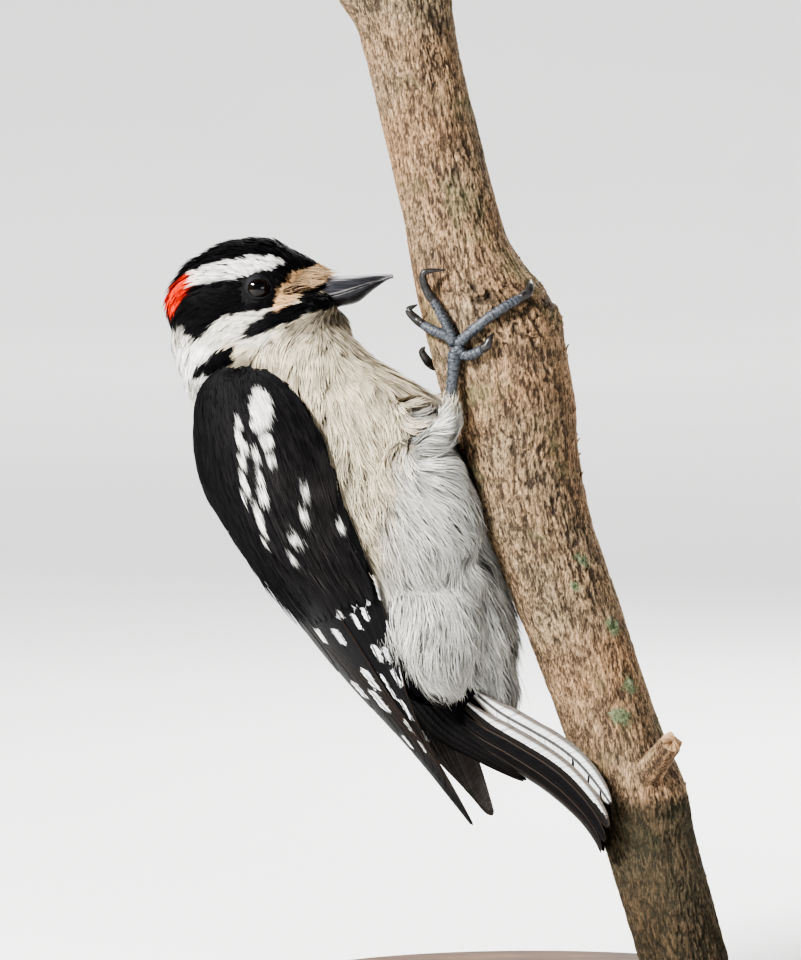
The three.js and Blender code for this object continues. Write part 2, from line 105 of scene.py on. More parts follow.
# the right wing's sections: belly edge, bulge and back edge
WING = [
    ((-14.4, -12.6, 21.1), (-17.2, -13.8, 21.5), (-20.0, -12.0, 20.6)),
    ((-6.6, -15.2, 19.0), (-20.5, -20.6, 20.0), (-26.4, -4.6, 13.6)),
    ((1.2, -17.2, 9.6), (-16.5, -24.0, 5.5), (-26.2, -3.2, -0.6)),
    ((6.0, -17.8, -4.6), (-9.5, -24.0, -11.0), (-17.2, -2.6, -14.4)),
    ((11.4, -16.2, -17.4), (-1.5, -20.0, -22.5), (-8.0, -2.4, -26.0)),
    ((16.6, -13.2, -30.4), (6.4, -14.2, -34.0), (1.8, -2.8, -37.2)),
    ((22.0, -10.0, -46.0), (17.0, -9.6, -48.0), (14.0, -4.2, -49.2)),
    ((25.4, -8.6, -55.6), (23.0, -8.0, -56.6), (21.6, -6.2, -57.2)),
    ((27.8, -7.8, -62.9), (27.4, -7.4, -63.2), (27.0, -7.0, -63.4)),
]
TAIL_LINE = [
    (20.6, 0, -44.4),
    (27.4, 0, -49.8),
    (34.3, 0, -53.9),
    (39.4, 0, -57.0),
    (43.6, 0, -60.2),
    (46.8, 0, -63.2),
    (49.2, 0, -66.4),
    (50.2, 0, -68.4),
]
TAIL_HALF = (6.5, 8.6)
TAIL_DROP = 9.0
TAIL_SHARES = (1.0, 0.97, 0.9, 0.83, 0.74)
TAIL_FEATHERS = len(TAIL_SHARES)
# height, the axis's X, radius
STEM = [
    (STEM_FOOT, 27.0, 7.9),
    (33.0, 22.2, 8.1),
    (50.0, 16.9, 8.7),
    (67.0, 10.8, 8.7),
    (84.0, 4.7, 9.3),
    (97.0, -0.2, 9.7),
    (109.0, -3.4, 10.2),
    (121.0, -6.0, 11.3),
    (131.0, -9.4, 10.6),
    (142.0, -13.4, 9.2),
    (153.0, -16.0, 8.5),
    (170.0, -20.1, 8.3),
    (186.0, -24.0, 8.3),
    (STEM_TOP, -26.6, 9.4),
]
STEM_STRETCH = 1.045
# height, angle, how far it stands out, half height, sharpness
KNOTS = [
    (138.5, -10, 4.4, 8.0, 1.5),
    (128.0, -20, 1.2, 7.0, 1.0),
    (49.0, -50, 1.4, 6.0, 2.0),
    (195.0, 180, 1.4, 3.5, 1.0),
]
STUB_FOOT, STUB_TIP, STUB_RADIUS = (17.4, -4.5, 48.8), (24.2, -12.4, 58.6), 1.9
# which way along the bird's Y each side lies
WAYS = {"right": -1, "left": 1}
# Places on the stem (height, angle) along the toes' pads, from hind toe to outer toe, and (height,
# angle, distance off it) along the claws. Ankles and knees are in the bird's frame.
FEET = {
    "right": {
        "joint": (131.4, 241),
        "ankle": (24.2, -13.2, 10.6),
        "knee": (9.5, -11.0, -3.5),
        "pads": [
            [(129.6, 246), (130.0, 256), (131.0, 264)],
            [(132.8, 236), (133.9, 221), (135.0, 205)],
            [(133.8, 239), (136.6, 236), (139.9, 230)],
            [(132.4, 248), (135.2, 268), (137.9, 289), (140.4, 312)],
        ],
        "claws": [
            [(131.4, 268, 1.2), (132.6, 272, 1.2), (133.6, 277, 0.6)],
            [(135.8, 200, 1.4), (137.6, 199, 2.4), (138.6, 202, 0.7)],
            [(141.2, 229, 1.6), (144.6, 235, 3.0), (145.2, 252, 0.7)],
            [(141.0, 317, 1.1), (142.3, 323, 1.2), (143.2, 330, 0.7)],
        ],
    },
    "left": {
        "joint": (125.4, 118),
        "ankle": (23.2, 12.2, 4.4),
        "knee": (9.5, 11.0, -6.0),
        "pads": [
            [(123.6, 113), (123.0, 104), (123.4, 94)],
            [(126.0, 126), (126.6, 146), (127.2, 164)],
            [(127.8, 118), (131.2, 121), (134.6, 124)],
            [(126.4, 111), (128.6, 92), (131.0, 71), (133.4, 50)],
        ],
        "claws": [
            [(123.7, 90, 1.2), (124.6, 86, 1.2), (125.6, 82, 0.6)],
            [(127.9, 169, 0.9), (129.6, 172, 1.3), (130.6, 176, 0.5)],
            [(135.8, 125, 1.6), (138.6, 122, 2.8), (139.2, 112, 0.7)],
            [(133.9, 45, 1.1), (134.9, 39, 1.2), (135.6, 33, 0.7)],
        ],
    },
}

# ---------------------------------------------------------------- arithmetic on points


def unit(vectors):
    """The same directions, one long."""
    return vectors / np.maximum(np.linalg.norm(vectors, axis=-1, keepdims=True), 1e-9)


def ease(value, low, high):
    """0 below low, 1 above high and smooth between."""
    share = np.clip((value - low) / (high - low), 0, 1)
    return share * share * (3 - 2 * share)


def blend(a, b, share):
    """From a at share 0 to b at share 1."""
    return a + (b - a) * share


def packed(*values):
    """Points from their coordinates, which may be of different shapes."""
    return np.stack(np.broadcast_arrays(*values), axis=-1)


def turned(points, yaw):
    """The points turned about the vertical."""
    points = np.asarray(points, float)
    x = points[..., 0] * math.cos(yaw) - points[..., 1] * math.sin(yaw)
    y = points[..., 0] * math.sin(yaw) + points[..., 1] * math.cos(yaw)
    return packed(x, y, points[..., 2])


def bird_to_world(points):
    """Points of the bird's frame in the world's."""
    return turned(points, BIRD_YAW) + BIRD_AT


def world_to_bird(points):
    """Points of the world's frame in the bird's."""
    return turned(np.asarray(points, float) - BIRD_AT, -BIRD_YAW)


def head_to_bird(points):
    """Points of the head's frame in the bird's."""
    return turned(points, HEAD_YAW) + HEAD_AT


def bird_to_head(points):
    """Points of the bird's frame in the head's."""
    return turned(np.asarray(points, float) - HEAD_AT, -HEAD_YAW)


def mirrored(points, way):
    """The right side's points for way -1, and the left side's for way 1."""
    return points * np.array([1.0, -way, 1.0])


class Spline:
    """A smooth line through rows of numbers, from share 0 at the first to 1 at the last."""

    def __init__(self, rows):
        rows = np.asarray(rows, float)
        self.spans = len(rows) - 1
        self.rows = np.vstack([2 * rows[0] - rows[1], rows, 2 * rows[-1] - rows[-2]])

    def at(self, share):
        """The line's numbers at shares of its length."""
        place = np.clip(np.asarray(share, float), 0, 1) * self.spans
        span = np.minimum(place.astype(int), self.spans - 1)
        w = (place - span)[..., None]
        a, b, c, d = (self.rows[span + i] for i in range(4))
        ab, bc, cd = (
            np.maximum(np.linalg.norm(q - p, axis=-1, keepdims=True) ** 0.5, 1e-4)
            for p, q in ((a, b), (b, c), (c, d))
        )
        leave = ((b - a) / ab - (c - a) / (ab + bc) + (c - b) / bc) * bc
        arrive = ((c - b) / bc - (d - b) / (bc + cd) + (d - c) / cd) * bc
        curve = (3 * (c - b) - 2 * leave - arrive) * w**2 + (2 * (b - c) + leave + arrive) * w**3
        return b + leave * w + curve

    def heading(self, share, step=1e-3):
        """The line's direction at shares of its length."""
        share = np.asarray(share, float)
        return unit(self.at(np.minimum(share + step, 1)) - self.at(np.maximum(share - step, 0)))


def hashed(cells, seed):
    """A number from 0 to 1 for each whole-number cell, always the same one."""
    with np.errstate(over="ignore"):
        mixed = cells[..., 0] * 374761393 + cells[..., 1] * 668265263 + cells[..., 2] * 2147483647
        mixed = (mixed + seed * 974634777) & 0xFFFFFFFF
        mixed = ((mixed ^ (mixed >> 13)) * 1274126177) & 0xFFFFFFFF
    return ((mixed ^ (mixed >> 16)) & 0xFFFF) / 65535.0


def cloud(points, seed=0, octaves=1):
    """Smooth noise from -1 to 1, with one bump to each unit of length."""
    total, reach, weight = 0, 0, 1.0
    for octave in range(octaves):
        scaled = np.asarray(points, float) * 2**octave + 17.3 * octave
        low = np.floor(scaled)
        w = scaled - low
        w = w * w * (3 - 2 * w)
        low = low.astype(np.int64)
        value = 0
        for corner in np.ndindex(2, 2, 2):
            share = np.prod(np.where(corner, w, 1 - w), axis=-1)
            value = value + share * hashed(low + corner, seed + octave)
        total = total + weight * (2 * value - 1)
        reach += weight
        weight *= 0.5
    return total / reach


def round_end(share, reach):
    """Rises from 0 to 1 over the reach, as a quarter of a circle."""
    return np.sqrt(np.maximum(0, 1 - (1 - np.minimum(1, share / reach)) ** 2))


def bent(value, power):
    """A circle's coordinate on an oval that is squarer for powers over 2."""
    return np.sign(value) * np.abs(value) ** (2 / power)


def grid_faces(rows, columns, wrap=False):
    """Quads of a grid of points, whose columns may close into a tube."""
    row = np.arange(rows - 1)[:, None]
    column = np.arange(columns if wrap else columns - 1)[None, :]
    a = row * columns + column
    b = row * columns + (column + 1) % columns
    return np.stack([a, b, b + columns, a + columns], axis=-1).reshape(-1, 4)


def repeated(faces, copies, size):
    """The faces of many like parts, each with its own points."""
    offsets = np.arange(copies)[:, None, None] * size
    return (faces[None] + offsets).reshape(-1, faces.shape[1])


def loft(stations, side=(0, 1, 0), caps=(0.12, 0.12), power=2, grow=0.0, rings=70, sides=56):
    """Points and quads of a body with oval sections along a spine."""
    table = np.asarray(stations, float)
    grow = np.broadcast_to(grow, (len(table), 3))
    line, size = Spline(table[:, :3]), Spline(table[:, 3:] + grow)
    t = 0.5 - 0.5 * np.cos(np.linspace(0.0, math.pi, rings))
    angle = np.linspace(0, 2 * math.pi, sides, endpoint=False)
    along = line.heading(np.clip(t, 0.002, 0.998))
    depth = unit(np.cross(side, along))
    across = unit(np.cross(along, depth))
    full = (round_end(t, caps[0]) * round_end(1 - t, caps[1]))[:, None]
    d = bent(np.cos(angle), power) * full
    w = bent(np.sin(angle), power) * full
    reach = size.at(t)
    d = np.where(d > 0, d * reach[:, :1], d * reach[:, 1:2])
    w = w * reach[:, 2:3]
    ends = np.where(t < 1e-6, -grow[0, 0], np.where(t > 1 - 1e-6, grow[-1, 0], 0))
    at = line.at(t) + along * ends[:, None]
    points = at[:, None] + depth[:, None] * d[..., None] + across[:, None] * w[..., None]
    return points.reshape(-1, 3), grid_faces(rings, sides, wrap=True)


def tube(points, radii, side=(0, 1, 0), **options):
    """Points and quads of a round rod through points."""
    stations = [(*p, r, r, r) for p, r in zip(points, radii)]
    return loft(stations, side=side, **options)


def joined(parts):
    """One set of points and faces from several."""
    points = np.concatenate([p for p, _ in parts])
    offsets = np.cumsum([0] + [len(p) for p, _ in parts[:-1]])
    return points, np.concatenate([f + o for (_, f), o in zip(parts, offsets)])


# ---------------------------------------------------------------- meshes


def new_mesh(name, points, faces, smooth=True):
    """A mesh in metres from points in millimetres and arrays of faces."""
    groups = faces if isinstance(faces, list) else [faces]
    loops = np.concatenate([g.ravel() for g in groups]).astype(np.int32)
    sizes = np.concatenate([np.full(len(g), g.shape[1]) for g in groups])
    mesh = bpy.data.meshes.new(name)
    mesh.vertices.add(len(points))
    mesh.vertices.foreach_set("co", (np.asarray(points) * MM).astype(np.float32).ravel())
    mesh.loops.add(len(loops))
    mesh.loops.foreach_set("vertex_index", loops)
    mesh.polygons.add(len(sizes))
    mesh.polygons.foreach_set("loop_start", (np.cumsum(sizes) - sizes).astype(np.int32))
    mesh.update(calc_edges=True)
    mesh.polygons.foreach_set("use_smooth", np.full(len(sizes), smooth))
    return mesh


def paint_points(mesh, name, values):
    """Stores a colour, or one number, for each point."""
    values = np.asarray(values, np.float32)
    kind = "FLOAT" if values.ndim == 1 else "FLOAT_COLOR"
    layer = mesh.attributes.new(name, kind, "POINT")
    if values.ndim > 1 and values.shape[1] == 3:
        values = np.column_stack([values, np.ones(len(values), np.float32)])
    layer.data.foreach_set("value" if kind == "FLOAT" else "color", values.ravel())


def map_points(mesh, name, uv):
    """Stores a flat map that gives each point one place."""
    corners = np.empty(len(mesh.loops), np.int32)
    mesh.loops.foreach_get("vertex_index", corners)
    layer = mesh.uv_layers.new(name=name)
    layer.uv.foreach_set("vector", np.asarray(uv, np.float32)[corners].ravel())


def add_piece(name, mesh, material, replaces=()):
    """Puts a finished mesh in the scene as a piece of the model."""
    piece = bpy.data.objects.new(name, mesh)
    bpy.context.scene.collection.objects.link(piece)
    mesh.materials.append(material)
    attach(piece, "root")
    if replaces:
        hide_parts(*replaces)


def with_modifiers(mesh, *modifiers):
    """The mesh after modifiers, each given as its type and its settings."""
    holder = bpy.data.objects.new("holder", mesh)
    bpy.context.scene.collection.objects.link(holder)
    for kind, settings in modifiers:
        modifier = holder.modifiers.new(kind, kind)
        for key, value in settings.items():
            setattr(modifier, key, value)
    evaluated = holder.evaluated_get(bpy.context.evaluated_depsgraph_get())
    result = bpy.data.meshes.new_from_object(evaluated)
    bpy.data.objects.remove(holder)
    return result


def mesh_points(mesh):
    """The mesh's points in millimetres."""
    points = np.empty(len(mesh.vertices) * 3, np.float32)
    mesh.vertices.foreach_get("co", points)
    return points.reshape(-1, 3).astype(float) / MM


def set_points(mesh, points):
    """Moves the mesh's points to places in millimetres."""
    mesh.vertices.foreach_set("co", (points * MM).astype(np.float32).ravel())
    mesh.update()


def mesh_normals(mesh):
    """The mesh's directions out at its points."""
    normals = np.empty(len(mesh.vertices) * 3, np.float32)
    mesh.vertices.foreach_get("normal", normals)
    return normals.reshape(-1, 3).astype(float)


def merged(mesh, reach=0.01):
    """The mesh with points that lie together made one, and flat faces dropped."""
    return with_modifiers(mesh, ("WELD", {"merge_threshold": reach * MM}))


def welded(points, faces, reach=0.003):
    """A mesh of points and faces, merged."""
    return merged(new_mesh("holder", points, faces), reach)


# ---------------------------------------------------------------- finishes


class Socket:
    """A shader value that can be added, multiplied and raised like a number."""

    def __init__(self, finish, output):
        self.finish = finish
        self.output = output

    def maths(self, operation, *values):
        """Another value, worked out from these."""
        sockets = dict(enumerate(values))
        return self.finish.node("ShaderNodeMath", {"operation": operation}, sockets)

    def __add__(self, other):
        return self.maths("ADD", self, other)

    def __radd__(self, other):
        return self.maths("ADD", other, self)

    def __sub__(self, other):
        return self.maths("SUBTRACT", self, other)

    def __rsub__(self, other):
        return self.maths("SUBTRACT", other, self)

    def __mul__(self, other):
        return self.maths("MULTIPLY", self, other)

    def __rmul__(self, other):
        return self.maths("MULTIPLY", other, self)

    def __truediv__(self, other):
        return self.maths("DIVIDE", self, other)

    def __pow__(self, other):
        return self.maths("POWER", self, other)

    def wave(self):
        """The sine."""
        return self.maths("SINE", self)

    def size(self):
        """The value without its sign."""
        return self.maths("ABSOLUTE", self)


class Finish:
    """A procedural material."""

    def __init__(self, name):
        self.material = bpy.data.materials.new(name)
        self.material.use_nodes = True
        self.tree = self.material.node_tree
        self.tree.nodes.clear()

    def node(self, kind, settings=None, sockets=None, output=0):
        """Adds a node: its settings first, then the values or links of its sockets."""
        made = self.tree.nodes.new(kind)
        for key, value in (settings or {}).items():
            if key == "stops":
                self.set_stops(made.color_ramp, value)
            else:
                setattr(made, key, value)
        for key, value in (sockets or {}).items():
            if isinstance(value, Socket):
                self.tree.links.new(value.output, made.inputs[key])
            else:
                made.inputs[key].default_value = value
        return Socket(self, made.outputs[output])

    @staticmethod
    def set_stops(ramp, stops):
        """Gives a ramp its places and colours."""
        while len(ramp.elements) < len(stops):
            ramp.elements.new(1.0)
        for element, (place, colour) in zip(ramp.elements, stops):
            element.position = place
            element.color = (*colour, 1.0)

    def place(self, stretch=(1, 1, 1)):
        """Positions in millimetres, stretched."""
        at = self.node("ShaderNodeTexCoord", output="Object")
        scale = tuple(s / MM for s in stretch)
        settings = {"operation": "MULTIPLY"}
        return self.node("ShaderNodeVectorMath", settings, {0: at, 1: scale})

    def noise(self, at, scale=1.0, detail=2.0, roughness=0.5, distortion=0.0):
        """Cloudy noise from 0 to 1."""
        sockets = {"Vector": at, "Scale": scale, "Detail": detail}
        sockets.update({"Roughness": roughness, "Distortion": distortion})
        return self.node("ShaderNodeTexNoise", None, sockets)

    def cells(self, at, scale=1.0):
        """How far places are from the middle of their grain."""
        return self.node("ShaderNodeTexVoronoi", None, {"Vector": at, "Scale": scale})

    def attribute(self, name, output="Color"):
        """What the mesh's points carry under a name."""
        return self.node("ShaderNodeAttribute", {"attribute_name": name}, output=output)

    def map_axes(self, name):
        """The two numbers of a flat map."""
        uv = self.node("ShaderNodeUVMap", {"uv_map": name})
        return self.part(uv, "X"), self.part(uv, "Y")

    def part(self, vector, axis):
        """One number of a vector."""
        return self.node("ShaderNodeSeparateXYZ", None, {"Vector": vector}, axis)

    def ease(self, value, low, high):
        """0 below low, 1 above high and smooth between."""
        settings = {"interpolation_type": "SMOOTHSTEP"}
        return self.node("ShaderNodeMapRange", settings, {0: value, 1: low, 2: high})

    def mix(self, share, a, b, how="MIX"):
        """From colour a at share 0 to b at share 1."""
        settings = {"data_type": "RGBA", "blend_type": how}
        sockets = {0: share, 6: self.colour(a), 7: self.colour(b)}
        return self.node("ShaderNodeMix", settings, sockets, 2)

    def times(self, a, b):
        """The product of two colours."""
        return self.mix(1.0, a, b, "MULTIPLY")

    @staticmethod
    def colour(value):
        """A socket as it is, or a colour with its fourth number."""
        if isinstance(value, Socket) or len(value) == 4:
            return value
        return (*value, 1.0)

    def ramp(self, value, stops):
        """Colours at places along a value from 0 to 1."""
        return self.node("ShaderNodeValToRGB", {"stops": stops}, {0: value})

    def bump(self, height, distance):
        """Fine relief that is a distance in millimetres deep."""
        sockets = {"Height": height, "Distance": distance * MM}
        return self.node("ShaderNodeBump", None, sockets)

    def surface(self, **sockets):
        """Closes the material with a shader whose sockets are named with underscores."""
        named = {key.replace("_", " "): value for key, value in sockets.items()}
        if "Base Color" in named:
            named["Base Color"] = self.colour(named["Base Color"])
        shader = self.node("ShaderNodeBsdfPrincipled", None, named)
        made = self.tree.nodes.new("ShaderNodeOutputMaterial")
        self.tree.links.new(shader.output, made.inputs["Surface"])
        return self.material


# ---------------------------------------------------------------- settings


def colour_setting(name, description, default):
    """A colour of the panel."""
    return FloatVectorProperty(
        name=name, description=description, default=default, subtype="COLOR", size=3, min=0, max=1
    )


def length_setting(name, description, default):
    """A length whose default is given in millimetres."""
    return FloatProperty(
        name=name, description=description, default=default * MM, unit="LENGTH", min=0, precision=5
    )


class PlumageSettings(bpy.types.PropertyGroup):
    """Colours and sizes of the feathers."""

    black: colour_setting("Black", "Cap, back and wings", (0.009, 0.0085, 0.0095))
    white: colour_setting("White", "Face stripes, neck and spots", (0.80, 0.79, 0.76))
    cream: colour_setting("Cream", "Breast and throat", (0.68, 0.60, 0.46))
    belly: colour_setting("Belly", "Belly, flanks and vent", (0.66, 0.655, 0.62))
    red: colour_setting("Red", "Patch on the nape", (0.80, 0.045, 0.012))
    buff: colour_setting("Buff", "Bristles over the nostrils", (0.66, 0.43, 0.24))
    dusky: colour_setting("Dusky", "Undersides of the flight feathers", (0.10, 0.09, 0.085))
    coat_depth: length_setting("Coat depth", "How deep the body feathers lie", 1.9)
    face_depth: length_setting("Face depth", "How deep the feathers of the face lie", 0.45)
    skin_step: length_setting("Skin step", "Size of the skin's faces", 0.55)
    strand_width: length_setting("Strand width", "Width of a lock of barbs", 0.20)
    crowding: FloatProperty(
        name="Crowding", description="Feathers on the body, 1 as a live bird", default=1.0, min=0.1
    )


class BareSettings(bpy.types.PropertyGroup):
    """Colours of the bill, eyes and feet."""

    horn: colour_setting("Horn", "Bill", (0.024, 0.024, 0.028))
    iris: colour_setting("Iris", "Ring round the pupil", (0.009, 0.0045, 0.003))
    leg: colour_setting("Leg", "Scutes of the legs and toes", (0.032, 0.035, 0.041))
    claw: colour_setting("Claw", "Claws", (0.022, 0.020, 0.019))


class StandSettings(bpy.types.PropertyGroup):
    """Colours and sizes of the stem and the stand."""

    bark: colour_setting("Bark", "Plates of the bark", (0.245, 0.170, 0.108))
    crack: colour_setting("Crack", "Depths of the bark", (0.060, 0.040, 0.027))
    wood: colour_setting("Wood", "Turned base", (0.10, 0.052, 0.028))
    bark_relief: length_setting("Bark relief", "Depth of the cracks", 0.42)
    bark_rows: IntProperty(name="Bark rows", description="Rings of points", default=400, min=8)


class StageSettings(bpy.types.PropertyGroup):
    """The studio."""

    paper: colour_setting("Paper", "Floor and backdrop", (0.80, 0.80, 0.78))
    key: FloatProperty(name="Key", description="Key light", default=24.0, unit="POWER", min=0)
    distance: length_setting("Distance", "Camera to subject", 1200.0)


def settings(group):
    """A group of the panel's settings."""
    return getattr(bpy.context.scene, "woodpecker_" + group)


def tints(group, *names):
    """Colours of a group of settings."""
    return [np.array(getattr(settings(group), name)) for name in names]


# ---------------------------------------------------------------- markings


def band(x, z, line):
    """How far inside a stripe points lie, from rows of x, z and half width; under 0 is outside."""
    best = np.full(np.shape(x), -1e9)
    for (x0, z0, r0), (x1, z1, r1) in zip(line, line[1:]):
        dx, dz = x1 - x0, z1 - z0
        share = np.clip(((x - x0) * dx + (z - z0) * dz) / (dx * dx + dz * dz), 0, 1)
        away = np.hypot(x - x0 - share * dx, z - z0 - share * dz)
        best = np.maximum(best, blend(r0, r1, share) - away)
    return best


# the head's markings, as x, z and half width in the head's frame
BROW = [
    (8.2, 7.4, 0.4),
    (5.8, 7.3, 1.1),
    (2.8, 7.0, 1.55),
    (-1.9, 6.0, 1.75),
    (-5.6, 5.3, 1.75),
    (-8.6, 4.5, 1.4),
    (-9.8, 3.3, 0.5),
]
NAPE_PATCH = [(-9.4, 4.7, 0.8), (-11.2, 2.4, 1.6), (-13.0, -0.4, 1.2)]
MALAR = [
    (17.6, 0.2, 1.1),
    (13.6, -0.1, 1.4),
    (10.9, -1.3, 1.3),
    (8.4, -2.0, 1.6),
    (5.9, -3.1, 1.5),
    (3.4, -4.5, 1.1),
    (1.2, -5.9, 0.5),
]
NECK_SPOT = [(-1.0, -8.6, 0.7), (-3.1, -10.3, 1.9), (-5.3, -11.8, 1.7), (-8.3, -13.2, 0.6)]
NASAL = [(6.8, -0.9, 0.7), (9.0, 1.6, 1.8), (11.5, 4.0, 1.8), (14.8, 5.3, 1.3), (18.0, 4.9, 1.0)]
BILL_ROOT = [(11.6, 0.4, 0.7), (14.0, 2.0, 1.1), (17.0, 3.2, 0.6)]
CHIN_SMUDGE = [(20.0, -2.4, 1.0), (15.0, -3.0, 1.6), (9.0, -5.0, 1.0)]
# the lower edge of the black of the head, as x and z
CAP_EDGE_X = (-14.0, -12.8, -10.9, -9.7, -7.8, -5.6, -4.1, -1.9, 2.8, 7.2, 9.0, 12.0, 15.0)
CAP_EDGE_Z = (-4.2, -4.3, -4.0, -6.0, -6.8, -5.0, -3.1, -2.1, -1.3, -0.8, 0.8, 4.9, 6.2)


def spine_offset(points):
    """How far along the body points lie, and how far towards the belly as a share of its depth."""
    line = Spline(np.array(BODY)[:, :3]).at(np.linspace(0, 1, 60))
    size = Spline(np.array(BODY)[:, 3:]).at(np.linspace(0, 1, 60))
    along = unit(np.gradient(line, axis=0))
    belly = np.cross((0, 1, 0), along)
    flat = points * (1, 0, 1)
    nearest = np.argmin(((flat[:, None] - line[None]) ** 2).sum(-1), axis=1)
    towards = ((flat - line[nearest]) * belly[nearest]).sum(-1)
    reach = np.where(towards > 0, size[nearest, 0], size[nearest, 1])
    return nearest / 59, towards / reach


def plumage(points):
    """The colour of the plumage at points of the bird's frame."""
    names = ("black", "white", "cream", "belly", "red", "buff")
    black, white, cream, belly, red, buff = tints("plumage", *names)
    points = np.asarray(points, float)
    ragged = 0.35 * packed(cloud(points / 1.1, 5), cloud(points / 1.1, 6))
    head = bird_to_head(points)
    x, z = head[:, 0] + ragged[:, 0], head[:, 2] + ragged[:, 1]
    along, towards = spine_offset(points)

    def laid(under, over, share):
        """The colour over where the share is 1, and the one under where it is 0."""
        return blend(under, over, np.clip(share, 0, 1)[:, None])

    soft = cloud(points / 7.0, 9)
    front = ease(points[:, 2] + 4 * soft, 9, 17)
    streak = cloud(points / (1.6, 1.6, 9.0), 12)
    inner = ease(12.0 + 0.23 * (points[:, 2] + 15) - points[:, 0] + 1.5 * soft + 2.2 * streak, -4, 4)
    inner = inner * ease(points[:, 2] + 4 * soft, -26, -10)
    colour = laid(np.tile(belly, (len(points), 1)), cream, np.maximum(front, inner))
    side_neck = ease(-x - 1.5, 0, 5) * ease(z, -24, -18)
    colour = laid(colour, white, side_neck)
    cheek = ease(z, -8.5, -6.5) * ease(-x, -9, -4)
    colour = laid(colour, white * (0.80, 0.77, 0.72), cheek)

    width = np.abs(points[:, 1]) + 0.8 * cloud(points / 3.0, 4)
    back = ease(-towards, 0.30, 0.42) * ease(-points[:, 2] - 0.25 * width, -15.0, -11.5)
    hind_neck = ease(2.6 - width, -0.4, 0.6) * ease(-towards, 0.3, 0.5) * ease(-z, 3.6, 4.6)
    colour = laid(colour, black, np.maximum(back, hind_neck))
    saddle = ease(3.6 - width, -0.5, 0.7) * ease(-towards, 0.3, 0.5)
    saddle = saddle * ease(along, 0.2, 0.26) * ease(-along, -0.74, -0.68)
    colour = laid(colour, white, saddle)
    rump = ease(-points[:, 2] - 0.4 * np.maximum(0, points[:, 0] - 24) + 1.5 * soft, 42.5, 43.5)
    colour = laid(colour, black, rump)

    cap = z - np.interp(x, CAP_EDGE_X, CAP_EDGE_Z)
    colour = laid(colour, black, ease(cap, -0.2, 0.2))
    colour = laid(colour, white, ease(band(x, z, BROW), -0.2, 0.2))
    colour = laid(colour, red, ease(band(x, z, NAPE_PATCH), -0.25, 0.25))
    for stripe in (MALAR, NECK_SPOT, BILL_ROOT):
        colour = laid(colour, black, ease(band(x, z, stripe), -0.15, 0.2))
    smudge = 0.55 * ease(band(x, z, CHIN_SMUDGE), -0.9, 0.7)
    colour = laid(colour, 0.18 * cream, smudge)
    return laid(colour, buff, 0.95 * ease(band(x, z, NASAL), -0.3, 0.3))


# ---------------------------------------------------------------- wing surface
WING_EDGES = [Spline([row[i] for row in WING]) for i in range(3)]


def wing_point(s, t):
    """A point of the right wing: s from shoulder to tip, t from belly edge to back edge."""
    belly, bulge, back = (edge.at(s) for edge in WING_EDGES)
    t = np.asarray(t, float)[..., None]
    return belly * (1 - t) ** 2 + bulge * 2 * t * (1 - t) + back * t * t


def wing_normal(s, t):
    """The right wing's directions out."""
    s = np.asarray(s, float)
    belly, _, back = (edge.at(s) for edge in WING_EDGES)
    core = (belly + back) / 2
    x, z = core[..., 0] + 3 * (1 - s), core[..., 2] - 5 * (1 - s)
    return unit(wing_point(s, t) - packed(x, 2 + 40 * s * s, z))


def section_length(s, steps=40):
    """The length of the wing's section at s, from edge to edge."""
    points = wing_point(np.full(steps, s), np.linspace(0, 1, steps))
    return float(np.linalg.norm(np.diff(points, axis=0), axis=1).sum())


WING_STATIONS = np.linspace(0, 1, 21)
WING_WIDTH = [section_length(s) for s in WING_STATIONS]


def wing_width(s):
    """The wing's width at s, in millimetres."""
    return np.interp(s, WING_STATIONS, WING_WIDTH)


class WingCover:
    """Says where points lie under the right wing; the left one is its mirror image."""

    def __init__(self, rows=80, columns=30):
        s, t = np.meshgrid(np.linspace(0, 1, rows), np.linspace(0, 1, columns), indexing="ij")
        self.points = wing_point(s.ravel(), t.ravel())
        self.share = packed(s.ravel(), t.ravel())
        self.normals = wing_normal(s.ravel(), t.ravel())
        faces = grid_faces(rows, columns)
        self.corner = faces[:, 0]
        self.tree = BVHTree.FromPolygons(self.points.tolist(), faces.tolist())

    def under(self, points):
        """For each point its s and t, its height over the wing, how far it is to the side of it
        and the wing's normal there."""
        right = np.array(points, float)
        right[:, 1] = -np.abs(right[:, 1])
        found = [self.tree.find_nearest(Vector(p)) for p in right]
        nearest = np.array([f[0] for f in found])
        corner = self.corner[[f[2] for f in found]]
        normal = self.normals[corner]
        away = right - nearest
        height = (away * normal).sum(-1)
        aside = np.linalg.norm(away - normal * height[:, None], axis=-1)
        return self.share[corner], height, aside, normal


# ---------------------------------------------------------------- skin


def thigh_line(side):
    """Knee and middle of a thigh, and three places of the feathered shank, in the bird's frame."""
    foot = FEET[side]
    knee, ankle = np.array(foot["knee"]), np.array(foot["ankle"])
    joint = world_to_bird(on_stem(*foot["joint"], TOE_RADIUS + GAP + 0.3))
    shank = [blend(ankle, joint, share) for share in (0.05, 0.3, 0.48)]
    return np.array([knee, blend(knee, ankle, 0.55) - (0.7, 0, 0), *shank])


# swellings of the flank and of the vent, as middle and reach, for both sides
PUFFS = [
    ((19.0, -9.0, -7.0), (8.0, 6.2, 14.0)),
    ((19.8, -10.5, 0.5), (6.4, 4.8, 6.8)),
    ((16.4, -8.6, 9.0), (5.0, 3.8, 6.0)),
    ((22.5, -7.5, -17.5), (5.0, 3.6, 6.5)),
    ((19.4, -7.0, -28.0), (8.0, 6.6, 12.5)),
]
THROAT = ((15.4, 0, -7.2), (4.9, 4.3, 6.4))
PUFF_GRID = (30, 40)
